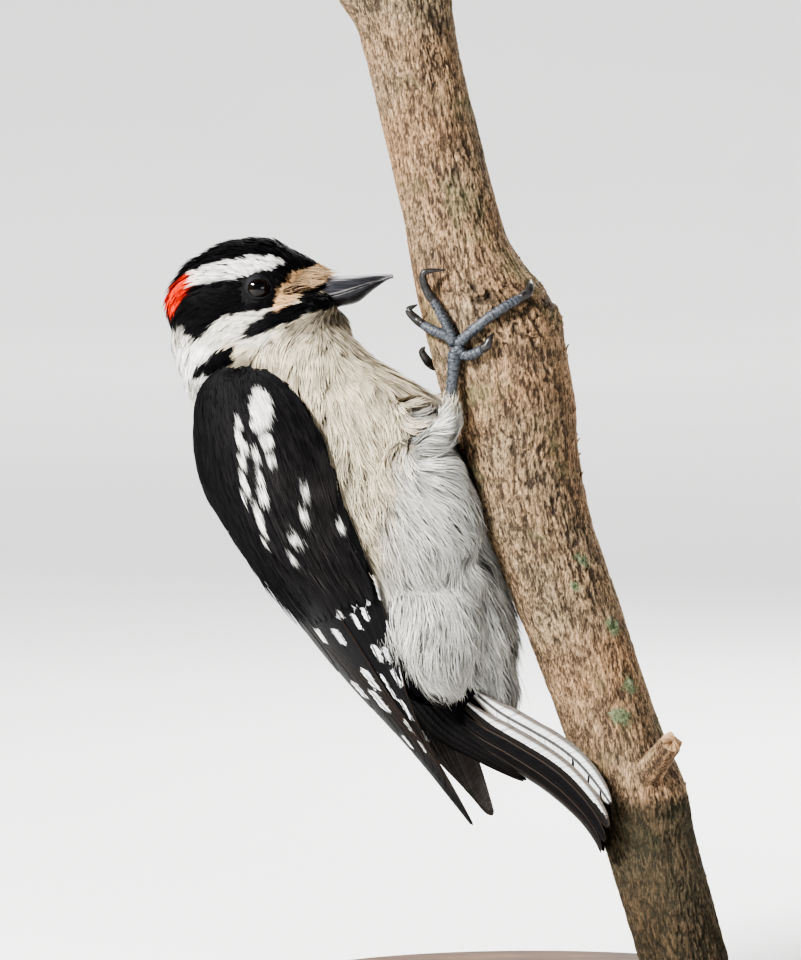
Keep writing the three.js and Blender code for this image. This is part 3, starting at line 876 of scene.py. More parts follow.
# how many times the face's depth the skin lies under the head's stations
FOREHEAD_THINNING = np.array([[1.0] * 3] * 3 + [[1.3, 1.3, 1.5], [3.2, 5.0, 5.6], [1.6, 4.0, 4.4]])
# and how many times the coat's depth under the body's stations
BODY_THINNING = np.array([[1.8], [1.5], [1.2], [1.6], [1.2], [0.8], [0.7], [0.6], [0.5], [0.4]])
# the skin's own chin, thighs and feathered shanks
SKIN_CHIN = [
    (3.0, 0, -5.2, 3.6, 4.4, 5.0),
    (12.0, 0, -4.4, 3.9, 4.6, 4.1),
    (17.3, 0, -3.9, 2.0, 3.7, 2.7),
    (19.3, 0, -3.9, 1.0, 2.4, 1.5),
]
THIGH_SKIN = (4.3, 2.7, 1.6, 1.05, 0.8)


class Skin:
    """The bird's bare form under the coat, in the bird's frame."""

    def __init__(self):
        tint = settings("plumage")
        depth, face = tint.coat_depth / MM, tint.face_depth / MM
        head, skull = loft(HEAD, (0, -1, 0), (0.2, 0.12), grow=-face * FOREHEAD_THINNING)
        chin, jaw = loft(SKIN_CHIN, (0, -1, 0), (0.2, 0.1))
        parts = [loft(BODY, caps=(0.08, 0.14), grow=-depth * BODY_THINNING)]
        parts += [(head_to_bird(head), skull), (head_to_bird(chin), jaw)]
        faces = grid_faces(*PUFF_GRID, wrap=True)
        for side in FEET:
            stations = [(*p, r, r, r) for p, r in zip(thigh_line(side), THIGH_SKIN)]
            parts.append(loft(stations, caps=(0.2, 0.1), rings=40, sides=30))
            way = WAYS[side]
            parts += [(mirrored(self.puff(*puff), way), faces) for puff in PUFFS]
        parts.append((head_to_bird(self.puff(*THROAT)), faces))
        rough = new_mesh("skin", *joined(parts))
        remesh = ("REMESH", {"mode": "VOXEL", "voxel_size": tint.skin_step})
        smooth = ("SMOOTH", {"factor": 0.5, "iterations": 12})
        self.mesh = with_modifiers(rough, remesh, smooth)
        self.tuck_wings(depth + 1.2)
        self.mesh = with_modifiers(self.mesh, ("SMOOTH", {"factor": 0.5, "iterations": 5}))
        self.points = mesh_points(self.mesh)
        self.normals = mesh_normals(self.mesh)
        self.mesh.calc_loop_triangles()
        corners = np.empty(len(self.mesh.loop_triangles) * 3, np.int32)
        self.mesh.loop_triangles.foreach_get("vertices", corners)
        self.triangles = corners.reshape(-1, 3)
        self.tree = BVHTree.FromPolygons(self.points.tolist(), self.triangles.tolist())

    @staticmethod
    def puff(middle, reach):
        """The points of a swelling."""
        out, _, _ = ball(np.array([0, 1.0, 0]), *PUFF_GRID)
        return (out * reach + middle).reshape(-1, 3)

    def tuck_wings(self, clearance):
        """Presses the flesh in under the wings, so that it stays clear of their feathers."""
        points = mesh_points(self.mesh)
        _, height, aside, normal = WingCover().under(points)
        margin, too_high = 1.7, 6
        press = np.maximum(0, height + clearance) * np.exp(-((aside / margin) ** 2))
        press = np.where(height > too_high, 0, press)[:, None] * normal
        press[:, 1] *= -np.sign(points[:, 1])
        set_points(self.mesh, points - press)

    def nearest(self, points):
        """The nearest places of the skin, and the skin's directions out there."""
        found = [self.tree.find_nearest(Vector(p)) for p in points]
        corners = self.triangles[[f[2] for f in found]]
        return np.array([f[0] for f in found]), unit(self.normals[corners].mean(axis=1))


# ---------------------------------------------------------------- lie of the coat
# Places in the bird's frame, the way that the feathers lie there, their length and the space
# between them. Rows with y are for both sides.
BODY_LIE = [
    ((-4, 0, 27), (0.75, 0, -0.65), 6.0, 1.30),
    ((3, 0, 20), (0.62, 0, -0.78), 7.0, 1.45),
    ((12, 0, 12), (0.55, 0, -0.83), 8.0, 1.6),
    ((-8, -9, 24), (-0.25, -0.35, -0.9), 5.5, 1.25),
    ((-3, -12, 17), (0.15, -0.3, -0.95), 6.5, 1.4),
    ((4, -12, 14), (0.35, -0.1, -0.95), 7.5, 1.5),
    ((3, -15, 6), (0.12, 0, -1.0), 8.0, 1.6),
    ((12, -10, 6), (0.25, 0, -1.0), 8.5, 1.6),
    ((9, -15, -4), (0.12, 0, -1.0), 9.0, 1.65),
    ((22, -6, 2), (0.55, 0.1, -0.85), 9.0, 1.65),
    ((23, 0, -4), (0.45, 0, -0.9), 9.0, 1.7),
    ((16, -12, -8), (0.50, 0.05, -0.85), 10.0, 1.7),
    ((23, -9, -4), (0.80, 0.1, -0.6), 9.5, 1.6),
    ((23, -8, -12), (0.70, 0.1, -0.7), 11.0, 1.7),
    ((14, -13, -15), (0.25, 0, -0.95), 11.5, 1.7),
    ((20, -10, -17), (0.30, -0.05, -0.95), 14.0, 1.6),
    ((24, -3, -18), (0.45, 0, -0.9), 10.0, 1.7),
    ((17, -10, -24), (0.32, 0.0, -0.95), 9.0, 1.6),
    ((21.5, -9.5, -25), (0.12, -0.05, -1.0), 9.0, 1.6),
    ((19, -8, -32), (0.30, 0.0, -0.95), 8.0, 1.5),
    ((24, -7, -26), (0.35, -0.05, -0.95), 9.0, 1.6),
    ((23, -7, -34), (0.06, -0.1, -1.0), 8.5, 1.5),
    ((27, -6.5, -30.5), (0.45, -0.05, -0.9), 6.5, 1.4),
    ((29, -2, -33), (0.45, 0, -0.9), 10.0, 1.6),
    ((32, -2, -38), (0.72, 0, -0.7), 12.0, 1.4),
    ((26, -6, -36.5), (0.60, 0, -0.75), 4.5, 1.2),
    ((22, -5, -41), (0.45, 0, -0.9), 6.0, 1.3),
    ((29, -4, -46), (0.75, 0, -0.65), 6.0, 1.3),
    ((-26, 0, 24), (-0.30, 0, -0.95), 6.0, 1.4),
    ((-22, -6, 16), (-0.20, -0.1, -1.0), 7.0, 1.5),
    ((-25, 0, 6), (0.15, 0, -1.0), 8.0, 1.7),
    ((-16, 0, -10), (0.50, 0, -0.85), 9.0, 1.8),
    ((-2, 0, -30), (0.55, 0, -0.85), 9.0, 1.8),
    ((14, 0, -44), (0.65, 0, -0.75), 9.0, 1.7),
    ((12, -12, 1), (0.40, -0.05, -0.9), 8.5, 1.5),
    ((16, -13, 1), (0.75, 0.0, -0.60), 9.0, 1.35),
    ((19.5, -13, 4.5), (0.95, 0.0, -0.20), 8.5, 1.2),
    ((14.5, -13.5, 9), (0.25, 0.0, -0.97), 8.0, 1.4),
    ((15.0, -13.5, 4), (0.35, 0.0, -0.95), 8.5, 1.4),
    ((19.2, -13, 9.5), (0.90, 0.0, 0.30), 7.0, 1.1),
    ((22, -13, 8.5), (0.98, 0.0, 0.12), 6.5, 1.0),
    ((22.2, -13.4, 12), (0.66, 0.0, 0.75), 5.0, 0.85),
    ((24.2, -13.4, 15), (0.35, 0.0, 0.94), 3.8, 0.75),
    ((25.2, -13.4, 18), (0.15, 0.0, 1.0), 3.0, 0.65),
]
HEAD_LIE = [
    ((16, 0, 6), (-0.9, 0, 0.5), 1.8, 0.62),
    ((12, 0, 9), (-0.8, 0, 0.6), 2.2, 0.68),
    ((6, 0, 11.5), (-1, 0, 0.1), 3.0, 0.75),
    ((-2, 0, 10.5), (-1, 0, -0.1), 3.8, 0.85),
    ((-9, 0, 6.5), (-0.8, 0, -0.6), 4.2, 0.95),
    ((-13, 0, 0), (-0.3, 0, -1), 4.4, 1.05),
    ((13, -5, 2), (-1, -0.5, 0.2), 1.6, 0.62),
    ((8, -7, 7), (-1, -0.1, 0.35), 2.0, 0.7),
    ((9, -7, -1), (-1, -0.3, -0.1), 1.9, 0.66),
    ((2, -9, 7), (-1, 0, 0.05), 2.4, 0.75),
    ((2, -9, -3), (-1, 0, -0.22), 2.6, 0.78),
    ((-4, -9, 2), (-1, 0.1, -0.12), 3.0, 0.85),
    ((-9, -7, 4), (-0.9, 0.4, -0.35), 3.6, 0.9),
    ((-9, -7, -4), (-0.85, 0.25, -0.55), 3.8, 0.95),
    ((14, -4, -3), (-1, -0.3, -0.25), 2.2, 0.7),
    ((19, 0, -4), (-0.15, 0, -1.0), 3.2, 0.75),
    ((19, 0, -8), (-0.05, 0, -1.0), 4.5, 0.9),
    ((15, -3, -8), (-0.35, 0, -0.95), 4.5, 0.9),
    ((10, -4, -9), (-0.95, -0.3, -0.35), 4.0, 0.95),
    ((3, -7, -8), (-0.95, -0.25, -0.35), 4.0, 0.95),
    ((6, 0, -12), (-0.5, 0, -0.8), 5.0, 1.15),
    ((-5, -8, -11), (-0.8, -0.1, -0.6), 4.6, 1.1),
    ((-11, -6, -9), (-0.5, 0.1, -0.9), 5.0, 1.15),
    ((-13, 0, -8), (-0.15, 0, -1), 5.0, 1.15),
    ((-10, -7, -18), (-0.25, -0.2, -1), 5.5, 1.25),
]


class Lie:
    """Directions, lengths and spacing of the feathers, blended between the rows above."""

    def __init__(self):
        rows = [(place, heading, size, space) for place, heading, size, space in BODY_LIE]
        for place, heading, size, space in HEAD_LIE:
            heading = turned(np.array(heading, float), HEAD_YAW)
            rows.append((head_to_bird(np.array(place, float)), heading, size, space))
        places = np.array([row[0] for row in rows], float)
        headings = unit(np.array([row[1] for row in rows], float))
        sizes = np.array([row[2:] for row in rows], float)
        head = np.arange(len(rows)) >= len(BODY_LIE)
        other = self.reflect(places, head), self.reflect(headings, head, flat=True)
        self.places = np.concatenate([places, other[0]])
        self.values = np.concatenate(
            [np.column_stack([headings, sizes]), np.column_stack([other[1], sizes])]
        )

    @staticmethod
    def reflect(vectors, head, flat=False):
        """The rows of the other side: the head's are mirrored in the head's own middle."""
        if flat:
            in_head = turned(vectors, -HEAD_YAW) * (1, -1, 1)
            in_head = turned(in_head, HEAD_YAW)
        else:
            in_head = head_to_bird(bird_to_head(vectors) * (1, -1, 1))
        return np.where(head[:, None], in_head, vectors * (1, -1, 1))

    def at(self, points):
        """The heading and, in columns, the length and the spacing."""
        softness, falloff = 2.0, -2.2
        gap = ((points[:, None] - self.places[None]) ** 2).sum(-1) + softness
        share = gap**falloff
        value = (share @ self.values) / share.sum(axis=1, keepdims=True)
        stray = packed(*(cloud(points / 4.5, seed) for seed in (91, 92, 93)))
        wildness, longest = 0.055, 7
        heading = value[:, :3] + wildness * np.minimum(value[:, 3:4], longest) * stray
        parting, eye_reach = 1.6, 3.4
        for way in WAYS.values():
            eye = head_to_bird(np.array([EYE_AT[0], way * EYE_AT[1] * 1.3, EYE_AT[2]]))
            away = points - eye
            close = np.exp(-((np.linalg.norm(away, axis=-1, keepdims=True) / eye_reach) ** 4))
            heading = heading + parting * close * unit(away)
        return heading, value[:, 3:]


# ---------------------------------------------------------------- feathers of the coat


def scatter(skin, lie, crowding, rng):
    """Places spread over the skin as far apart as the feathers there are."""
    corners = skin.points[skin.triangles]
    first, second = corners[:, 1] - corners[:, 0], corners[:, 2] - corners[:, 0]
    area = np.linalg.norm(np.cross(first, second), axis=1) / 2
    middle = corners.mean(axis=1)
    spacing = lie.at(middle)[1][:, 1] / math.sqrt(crowding)
    weight = area / spacing**2
    tries, closest = 3.0, 0.82
    picked = rng.choice(len(middle), int(weight.sum() * tries), p=weight / weight.sum())
    a, b = rng.random((2, len(picked), 1))
    over = a + b > 1
    a, b = np.where(over, 1 - a, a), np.where(over, 1 - b, b)
    places = corners[picked, 0] + a * first[picked] + b * second[picked]
    return thinned(places, closest * spacing[picked])


def thinned(places, reach):
    """The places in turn, without those too near to one already kept."""
    cell = float(reach.max())
    kept, grid = [], {}
    keys = np.floor(places / cell).astype(int).tolist()
    rows = places.tolist()
    around = [(i - 1, j - 1, k - 1) for i, j, k in np.ndindex(3, 3, 3)]
    for index, ((x, y, z), (i, j, k)) in enumerate(zip(rows, keys)):
        limit = reach[index] ** 2
        for di, dj, dk in around:
            near = grid.get((i + di, j + dj, k + dk), ())
            if any((x - p[0]) ** 2 + (y - p[1]) ** 2 + (z - p[2]) ** 2 < limit for p in near):
                break
        else:
            grid.setdefault((i, j, k), []).append((x, y, z))
            kept.append(index)
    return places[kept]


def trace(skin, lie, roots, length, steps=5):
    """Lines that follow the coat over the skin from roots, with the skin's directions out."""
    at, normal = skin.nearest(roots)
    line, normals = [at], [normal]
    for _ in range(steps):
        heading = lie.at(at)[0]
        heading = unit(heading - normal * (heading * normal).sum(-1, keepdims=True))
        at, normal = skin.nearest(at + heading * (length / steps)[:, None])
        line.append(at)
        normals.append(normal)
    return np.stack(line, axis=1), np.stack(normals, axis=1)


class Style:
    """How the feathers of a region are made."""

    def __init__(self, strands, joints, spread, lift, curl, roll, width, lock=0.12, depth=0.62):
        self.strands, self.joints = strands, joints
        self.spread, self.lift, self.curl = spread, lift, curl
        self.roll, self.width = roll, width
        self.lock, self.depth = lock, depth


def sample_line(line, share):
    """Points at shares of the length of many lines: (n, k, 3) and (n, m) give (n, m, 3)."""
    place = np.clip(share, 0, 1) * (line.shape[1] - 1)
    low = np.minimum(place.astype(int), line.shape[1] - 2)
    w = (place - low)[..., None]
    index = np.arange(len(line))[:, None]
    return line[index, low] * (1 - w) + line[index, low + 1] * w


def strands(line, normals, length, lift, style, rng):
    """Flat tapered locks of barbs that fan out from each feather's line.

    Gives the points as feathers x strands x points of a strand, each point's share of the
    feather's length, how far it is to the side and the direction out there, and the faces.
    """
    n, m, j = len(line), style.strands, style.joints
    stray, rounding, latest_start = 0.5, 0.28, 0.35
    across = np.linspace(-1, 1, m)[None, :] + rng.normal(0, stray / m, (n, m))
    end = 1 - rounding * across**2 + rng.uniform(-0.16, 0.06, (n, m))
    start = latest_start * rng.random((n, m)) ** 2
    step = np.linspace(0, 1, j)
    share = start[..., None] + (end - start)[..., None] * step
    flat = share.reshape(n, -1)
    at = sample_line(line, flat).reshape(n, m, j, 3)
    out = unit(sample_line(normals, flat)).reshape(n, m, j, 3)
    ahead = unit(np.gradient(line, axis=1))
    ahead = unit(sample_line(ahead, flat)).reshape(n, m, j, 3)
    side = unit(np.cross(ahead, out))
    root_fan, root_rise, slope, doming = 0.25, 0.12, 0.8, 0.22
    fan = np.minimum(1, root_fan + 1.1 * share**slope) * (1 - style.lock * share**1.5)
    half = (style.spread * length)[:, None, None]
    bend = rng.normal(0, style.curl, (n, m, 1)) * length[:, None, None]
    sway = across[..., None] * fan * half + bend * share**2
    dome = 1 - doming * across[..., None] ** 2
    rise = lift[:, None, None] * (root_rise + (1 - root_rise) * share**slope) * dome
    rise = rise * (1 + rng.normal(0, 0.10, (n, m, 1)) + rng.normal(0, style.curl, (n, m, 1)) * share)
    middle = at + side * sway[..., None] + out * rise[..., None]
    roll = rng.normal(0, style.roll, (n, m, 1, 1)) + 0.5 * across[..., None, None]
    edge = side * np.cos(roll) + out * np.sin(roll)
    width = style.width * settings("plumage").strand_width / MM / 2
    taper = width * np.minimum(1, 0.55 + 1.2 * step[:-1]) * (1 - step[:-1] ** 3)
    left = middle[:, :, :-1] - edge[:, :, :-1] * taper[:, None]
    right = middle[:, :, :-1] + edge[:, :, :-1] * taper[:, None]
    points = np.stack([left, right], axis=3).reshape(n, m, -1, 3)
    points = np.concatenate([points, middle[:, :, -1:]], axis=2)
    per = 2 * (j - 1) + 1
    quads = grid_faces(j - 1, 2)
    tips = np.array([[per - 3, per - 2, per - 1]])
    faces = [repeated(quads, n * m, per), repeated(tips, n * m, per)]

    def each(values):
        """One value for each point of a strand from one for each pair."""
        return np.concatenate([np.repeat(values[:, :, :-1], 2, axis=2), values[:, :, -1:]], axis=2)

    return points, each(share), each(sway), each(out), faces


PATCH = 0.003  # size of a feather on the flat map


def root_map(roots):
    """Places of roots on a flat map of the skin: round the body and along it, filling the map."""
    along, _ = spine_offset(roots)
    line = Spline(np.array(BODY)[:, :3]).at(along)
    head = bird_to_head(roots)
    up = roots - line
    angle = np.arctan2(up[:, 1], up[:, 0])
    crown = np.arctan2(head[:, 1], head[:, 0] + 20)
    use_head = ease(head[:, 2], -12, -8)
    u = blend(angle, crown * 2, use_head)
    v = roots[:, 2] + 0.5 * np.maximum(0, head[:, 0]) * use_head
    flat = packed(u, v)
    low, high = flat.min(axis=0), flat.max(axis=0)
    return 0.01 + 0.975 * (flat - low) / np.maximum(high - low, 1e-6)


def add_coat(name, skin, lie, roots, style, rng, tint=None):
    """One piece of the coat: a feather at each root."""
    length = lie.at(roots)[1][:, 0] * rng.uniform(0.82, 1.12, len(roots))
    line, normals = trace(skin, lie, roots, length)
    lift = style.lift * length * rng.uniform(0.75, 1.15, len(roots))
    tufts = strands(line, normals, length, lift, style, rng)
    seen = tufts[0][:, :, tufts[0].shape[2] // 2]
    if tint is None:
        tint = plumage(seen.reshape(-1, 3)).reshape(seen.shape)[:, :, None]
    add_tufts(name, tufts, tint, root_map(roots), rng, style.depth)


def add_tufts(name, tufts, colour, corner, rng, depth=0.6, flip=1):
    """One piece of tufts whose colours are given by strand, each with its patch of the map."""
    points, share, sway, outward, faces = tufts
    n, m = share.shape[:2]
    own = rng.uniform(0.80, 1.10, (n, 1, 1)) * (1 + rng.normal(0, 0.12, (n, m, 1)))
    # painted shade: each strand darkens towards its root, partly for the grey down there and partly for
    # the shade deep between the tufts
    shade = (depth + (1.05 - depth) * np.clip(share, 0, 1) ** 0.8) * own
    if flip < 0:
        points, outward = points * (1, -1, 1), outward * (1, -1, 1)
        faces = [group[:, ::-1] for group in faces]
    mesh = new_mesh(name, bird_to_world(points.reshape(-1, 3)), faces)
    paint_points(mesh, "Plumage", (colour * shade[..., None]).reshape(-1, 3))
    across = sway / (2 * np.abs(sway).max(axis=(1, 2), keepdims=True) + 1e-9) + 0.5
    inside = packed(across, np.clip(share, 0, 1)) * PATCH
    map_points(mesh, "OFBake", (corner[:, None, None] + inside).reshape(-1, 2))
    soften(mesh, turned(outward.reshape(-1, 3), BIRD_YAW))
    add_piece(name, mesh, coat_finish())


def soften(mesh, outward, share=0.65):
    """Lights the locks more as the body's own form than as single strips."""
    own = mesh_normals(mesh)
    own = own * np.sign((own * outward).sum(-1, keepdims=True) + 1e-9)
    mesh.normals_split_custom_set_from_vertices(unit(blend(own, outward, share)).tolist())


# ---------------------------------------------------------------- vanes of the wings and tail


# how many millimetres the map of the barbs spans across and along a feather
BARB_MAP = (20, 100)


def vane_faces(rows, columns):
    """Faces of one thin closed vane: its upper side, its under side and its rim."""
    upper = grid_faces(rows, columns)
    size = rows * columns
    index = np.arange(size).reshape(rows, columns)
    rim = np.concatenate([index[0], index[1:, -1], index[-1, -2::-1], index[-2:0:-1, 0]])
    after = np.roll(rim, -1)
    walls = packed(rim, rim + size, after + size, after)
    return np.concatenate([upper, upper[:, ::-1] + size, walls])


def vane_outline(along, tip, root=0.2):
    """Half width along a vane as a share of its greatest: narrow at the quill, rounded at the tip."""
    begin = np.minimum(1, 0.25 + along / root * 0.75) ** 0.7
    rounding = np.clip((along - tip) / (1 - tip), 0, 1)
    return np.maximum(0.06, begin * np.sqrt(1 - np.minimum(1, rounding**2.2)))


class VaneSet:
    """Many vanes on one surface, each a grid of rows along it and columns across."""

    def __init__(self, surface, rows, columns, thick=0.08, edge=None):
        self.surface, self.rows, self.columns, self.thick = surface, rows, columns, thick
        self.edge = edge
        self.along = np.linspace(0, 1, rows) ** 0.9
        self.across = np.linspace(-1, 1, columns)

    def build(self, s, t, half, height, tip, camber):
        """Points, faces, and shares along and across with the distance aside in millimetres.

        s, t and height are (n, 2), at root and tip; half widths in millimetres and tip are (n,).
        """
        n = len(s)
        v = self.along[None, :, None]
        u = self.across[None, None, :]
        outline = vane_outline(self.along[None, :], tip[:, None])[..., None]
        places = packed(v * 16, u * 1.5, np.arange(n)[:, None, None] * 3.7)
        fray = 1 + 0.05 * cloud(places, 21) * np.abs(u) ** 3
        s_here = s[:, 0, None, None] + (s[:, 1] - s[:, 0])[:, None, None] * v + 0 * u
        wide = half[:, None, None] * outline * fray
        centre = blend(t[:, 0, None, None], t[:, 1, None, None], v**0.8)
        aside = u * wide
        if self.edge:
            low = self.edge(s_here)
            centre = low + (1 - low) * centre
            room = np.where(u < 0, centre - low, 1 - centre) * wing_width(s_here)
            aside = u * np.minimum(wide, np.maximum(0.25, room + 0.15))
        rise = blend(height[:, 0, None, None], height[:, 1, None, None], v)
        rise = rise + camber * half[:, None, None] * (1 - u * u) * outline
        shaft, shaft_half = 0.07, 0.20
        rise = rise + shaft * np.exp(-((aside / shaft_half) ** 2)) * (1 - 0.7 * v)
        place, out = self.surface(s_here, centre, aside)
        upper = place + out * rise[..., None]
        under = place + out * (rise - self.thick * (0.35 + 0.65 * (1 - u * u)))[..., None]
        size = self.rows * self.columns
        points = np.concatenate([upper.reshape(n, size, 3), under.reshape(n, size, 3)], axis=1)
        faces = repeated(vane_faces(self.rows, self.columns), n, 2 * size)
        self.share = s_here, centre + aside / np.maximum(1, wing_width(s_here))
        shares = (np.broadcast_to(value, wide.shape).reshape(n, size) for value in (v, u, aside))
        return points, faces, *shares

    @staticmethod
    def flat_maps(mesh, along, across, aside, length):
        """The map of the barbs, and the one that gives each vane a cell of its own."""
        n = len(along)
        barb = packed(0.5 + aside / BARB_MAP[0], along * length[:, None] / BARB_MAP[1])
        map_points(mesh, "Barbs", np.tile(barb, (1, 2, 1)).reshape(-1, 2))
        cells = math.ceil(math.sqrt(n))
        corner = packed(np.arange(n) % cells, np.arange(n) // cells)[:, None]
        x = 0.08 + 0.84 * (across * 0.5 + 0.5)
        sides = [packed(x, low + tall * along) for low, tall in ((0.04, 0.58), (0.68, 0.28))]
        bake = (np.concatenate(sides, axis=1) + corner) / cells
        map_points(mesh, "OFBake", bake.reshape(-1, 2))

    def add(self, name, made, way, length, colour, mark, edge, replaces=(), inward=False):
        """Adds built vanes as a piece, mirrored for way 1, with colour, whiteness and darker edges: worn
        edges on the wings, painted shade along the tail feathers' edges.

        The surface's own side out is the other one where it is inward.
        """
        points, faces, along, across, aside = made
        points = bird_to_world(mirrored(points.reshape(-1, 3), way))
        mesh = new_mesh(name, points, faces[:, ::-1] if (way > 0) != inward else faces)
        both = (len(along), 2 * along.shape[1], 3)
        paint_points(mesh, "Plumage", np.broadcast_to(colour, both).reshape(-1, 3))
        for layer, values in (("Mark", mark), ("Edge", edge)):
            upper = np.broadcast_to(values, along.shape)
            paint_points(mesh, layer, np.tile(upper, (1, 2)).reshape(-1))
        self.flat_maps(mesh, along, across, aside, length)
        add_piece(name, mesh, vane_finish(), replaces)


def leading_edge(s):
    """Where the long feathers' outer edge lies: it draws back from the wing's edge at the tip."""
    return np.interp(s, (0.50, 0.62, 0.75, 1.0), (0.0, 0.10, 0.38, 0.42))


def on_wing(s, t, aside):
    """Places of the wing, moved aside in millimetres, and its directions out."""
    t = t + aside / np.maximum(1.5, wing_width(s))
    return wing_point(s, t), wing_normal(s, np.clip(t, 0, 1))


# white on the coverts, as s, t, half length, half width and strength
COVERT_SPOTS = [
    (0.165, 0.210, 0.018, 0.055, 1.00),
    (0.190, 0.250, 0.020, 0.070, 1.00),
    (0.213, 0.290, 0.010, 0.058, 1.00),
    (0.203, 0.420, 0.009, 0.023, 0.90),
    (0.225, 0.450, 0.012, 0.029, 1.00),
    (0.240, 0.440, 0.008, 0.032, 1.00),
    (0.258, 0.485, 0.010, 0.029, 1.00),
    (0.240, 0.290, 0.012, 0.040, 1.00),
    (0.256, 0.385, 0.009, 0.029, 0.90),
    (0.270, 0.305, 0.009, 0.029, 0.90),
    (0.288, 0.520, 0.015, 0.025, 1.00),
    (0.306, 0.570, 0.006, 0.016, 0.90),
    (0.288, 0.405, 0.010, 0.024, 0.35),
    (0.315, 0.435, 0.011, 0.035, 0.40),
    (0.333, 0.520, 0.013, 0.032, 0.90),
    (0.353, 0.545, 0.012, 0.023, 0.80),
    (0.373, 0.585, 0.009, 0.010, 0.70),
    (0.330, 0.175, 0.009, 0.024, 0.90),
    (0.361, 0.225, 0.009, 0.024, 0.80),
    (0.390, 0.340, 0.008, 0.047, 0.35),
    (0.415, 0.450, 0.009, 0.023, 0.55),
    (0.395, 0.060, 0.008, 0.022, 0.80),
]


def spot_strength(s, t):
    """How white the coverts are at places of the wing, over 0 inside a spot."""
    value = np.full(s.shape, -1.0)
    for at_s, at_t, long, wide, strong in COVERT_SPOTS:
        inside = 1 - np.sqrt(((s - at_s) / long) ** 2 + ((t - at_t) / wide) ** 2)
        value = np.maximum(value, np.where(inside > 0, inside * 2.5 * strong, inside))
    return value


def wing_coverts(rng):
    """Rows of short feathers from the shoulder down, as roots and sizes of vanes."""
    rows = []
    s, row = -0.015, 0
    while s < 0.395:
        size = np.interp(s, (0, 0.15, 0.4), (5.5, 8.0, 15.0))
        step = np.interp(s, (0, 0.15, 0.4), (2.0, 2.7, 3.6))
        width = max(6.0, float(wing_width(s + 0.03)))
        count = max(3, round(width / (0.30 * step + 1.5)))
        half = np.interp(s, (0, 0.15, 0.4), (2.0, 2.2, 1.9))
        margin = min(0.4, half / width)
        for i in range(count):
            t = (i + 0.5 * (row % 2) + rng.uniform(-0.12, 0.12)) / count
            rows.append((s + rng.uniform(-0.004, 0.004), margin + t * (1 - 2 * margin), size, half))
        row += 1
        s += step / 100
    return np.array(rows)


def flight_feathers():
    """The long feathers as root s, tip s, root t, tip t, half width and height, outermost first."""
    rows = []
    for i, tip in enumerate((0.955, 0.985, 1.0, 0.985, 0.965, 0.94, 0.915, 0.89)):
        rows.append((0.33, tip, 0.045 * i + 0.05, 0.10 + 0.11 * i, 2.3, -1.25 + 0.05 * i))
    for i, tip in enumerate((0.865, 0.845, 0.825, 0.80, 0.77, 0.73, 0.68, 0.61)):
        end = min(1.0, 0.56 + 0.065 * i)
        rows.append((0.30, tip, 0.40 + 0.072 * i + 0.03, end, 2.9, -0.85 + 0.07 * i))
    return np.array(rows)


# white on the long feathers, as s, t, half length and half width
FLIGHT_SPOTS = [
    (0.395, 0.060, 0.010, 0.022),
    (0.427, 0.200, 0.012, 0.030),
    (0.432, 0.130, 0.012, 0.022),
    (0.517, 0.400, 0.016, 0.070),
    (0.517, 0.230, 0.013, 0.040),
    (0.520, 0.125, 0.012, 0.040),
    (0.550, 0.295, 0.014, 0.040),
    (0.545, 0.190, 0.012, 0.040),
    (0.562, 0.555, 0.014, 0.075),
    (0.547, 0.770, 0.013, 0.060),
    (0.612, 0.285, 0.015, 0.055),
    (0.620, 0.200, 0.012, 0.045),
    (0.642, 0.560, 0.015, 0.090),
    (0.678, 0.680, 0.016, 0.105),
    (0.648, 0.870, 0.013, 0.085),
    (0.662, 0.400, 0.018, 0.040),
    (0.655, 0.245, 0.013, 0.045),
    (0.700, 0.370, 0.015, 0.055),
    (0.722, 0.520, 0.012, 0.050),
    (0.745, 0.830, 0.012, 0.070),
    (0.765, 0.530, 0.012, 0.060),
]
EDGE_LINES = ((0.425, 0.030), (0.510, 0.022), (0.585, 0.018), (0.655, 0.014))


def flight_marks(s, t, across):
    """White spots on the long feathers, and white lines along the first one's edge."""
    value = np.full(s.shape, -1.0)
    for at_s, at_t, long, wide in FLIGHT_SPOTS:
        aside = t - at_t - 0.9 * at_t * (s - at_s)
        run, reach = np.abs(s - at_s + 0.1 * aside), np.abs(aside)
        inside = 1 - np.maximum(run / (1.10 * long), reach / (0.58 * wide))
        value = np.maximum(value, np.where(inside > 0, inside * 1.1, inside))
    for bar, long in EDGE_LINES:
        inside = np.minimum(1 - np.abs(s[0] - bar) / long, (-0.72 - across[0]) / 0.28)
        value[0] = np.maximum(value[0], 1.6 * inside)
    return value


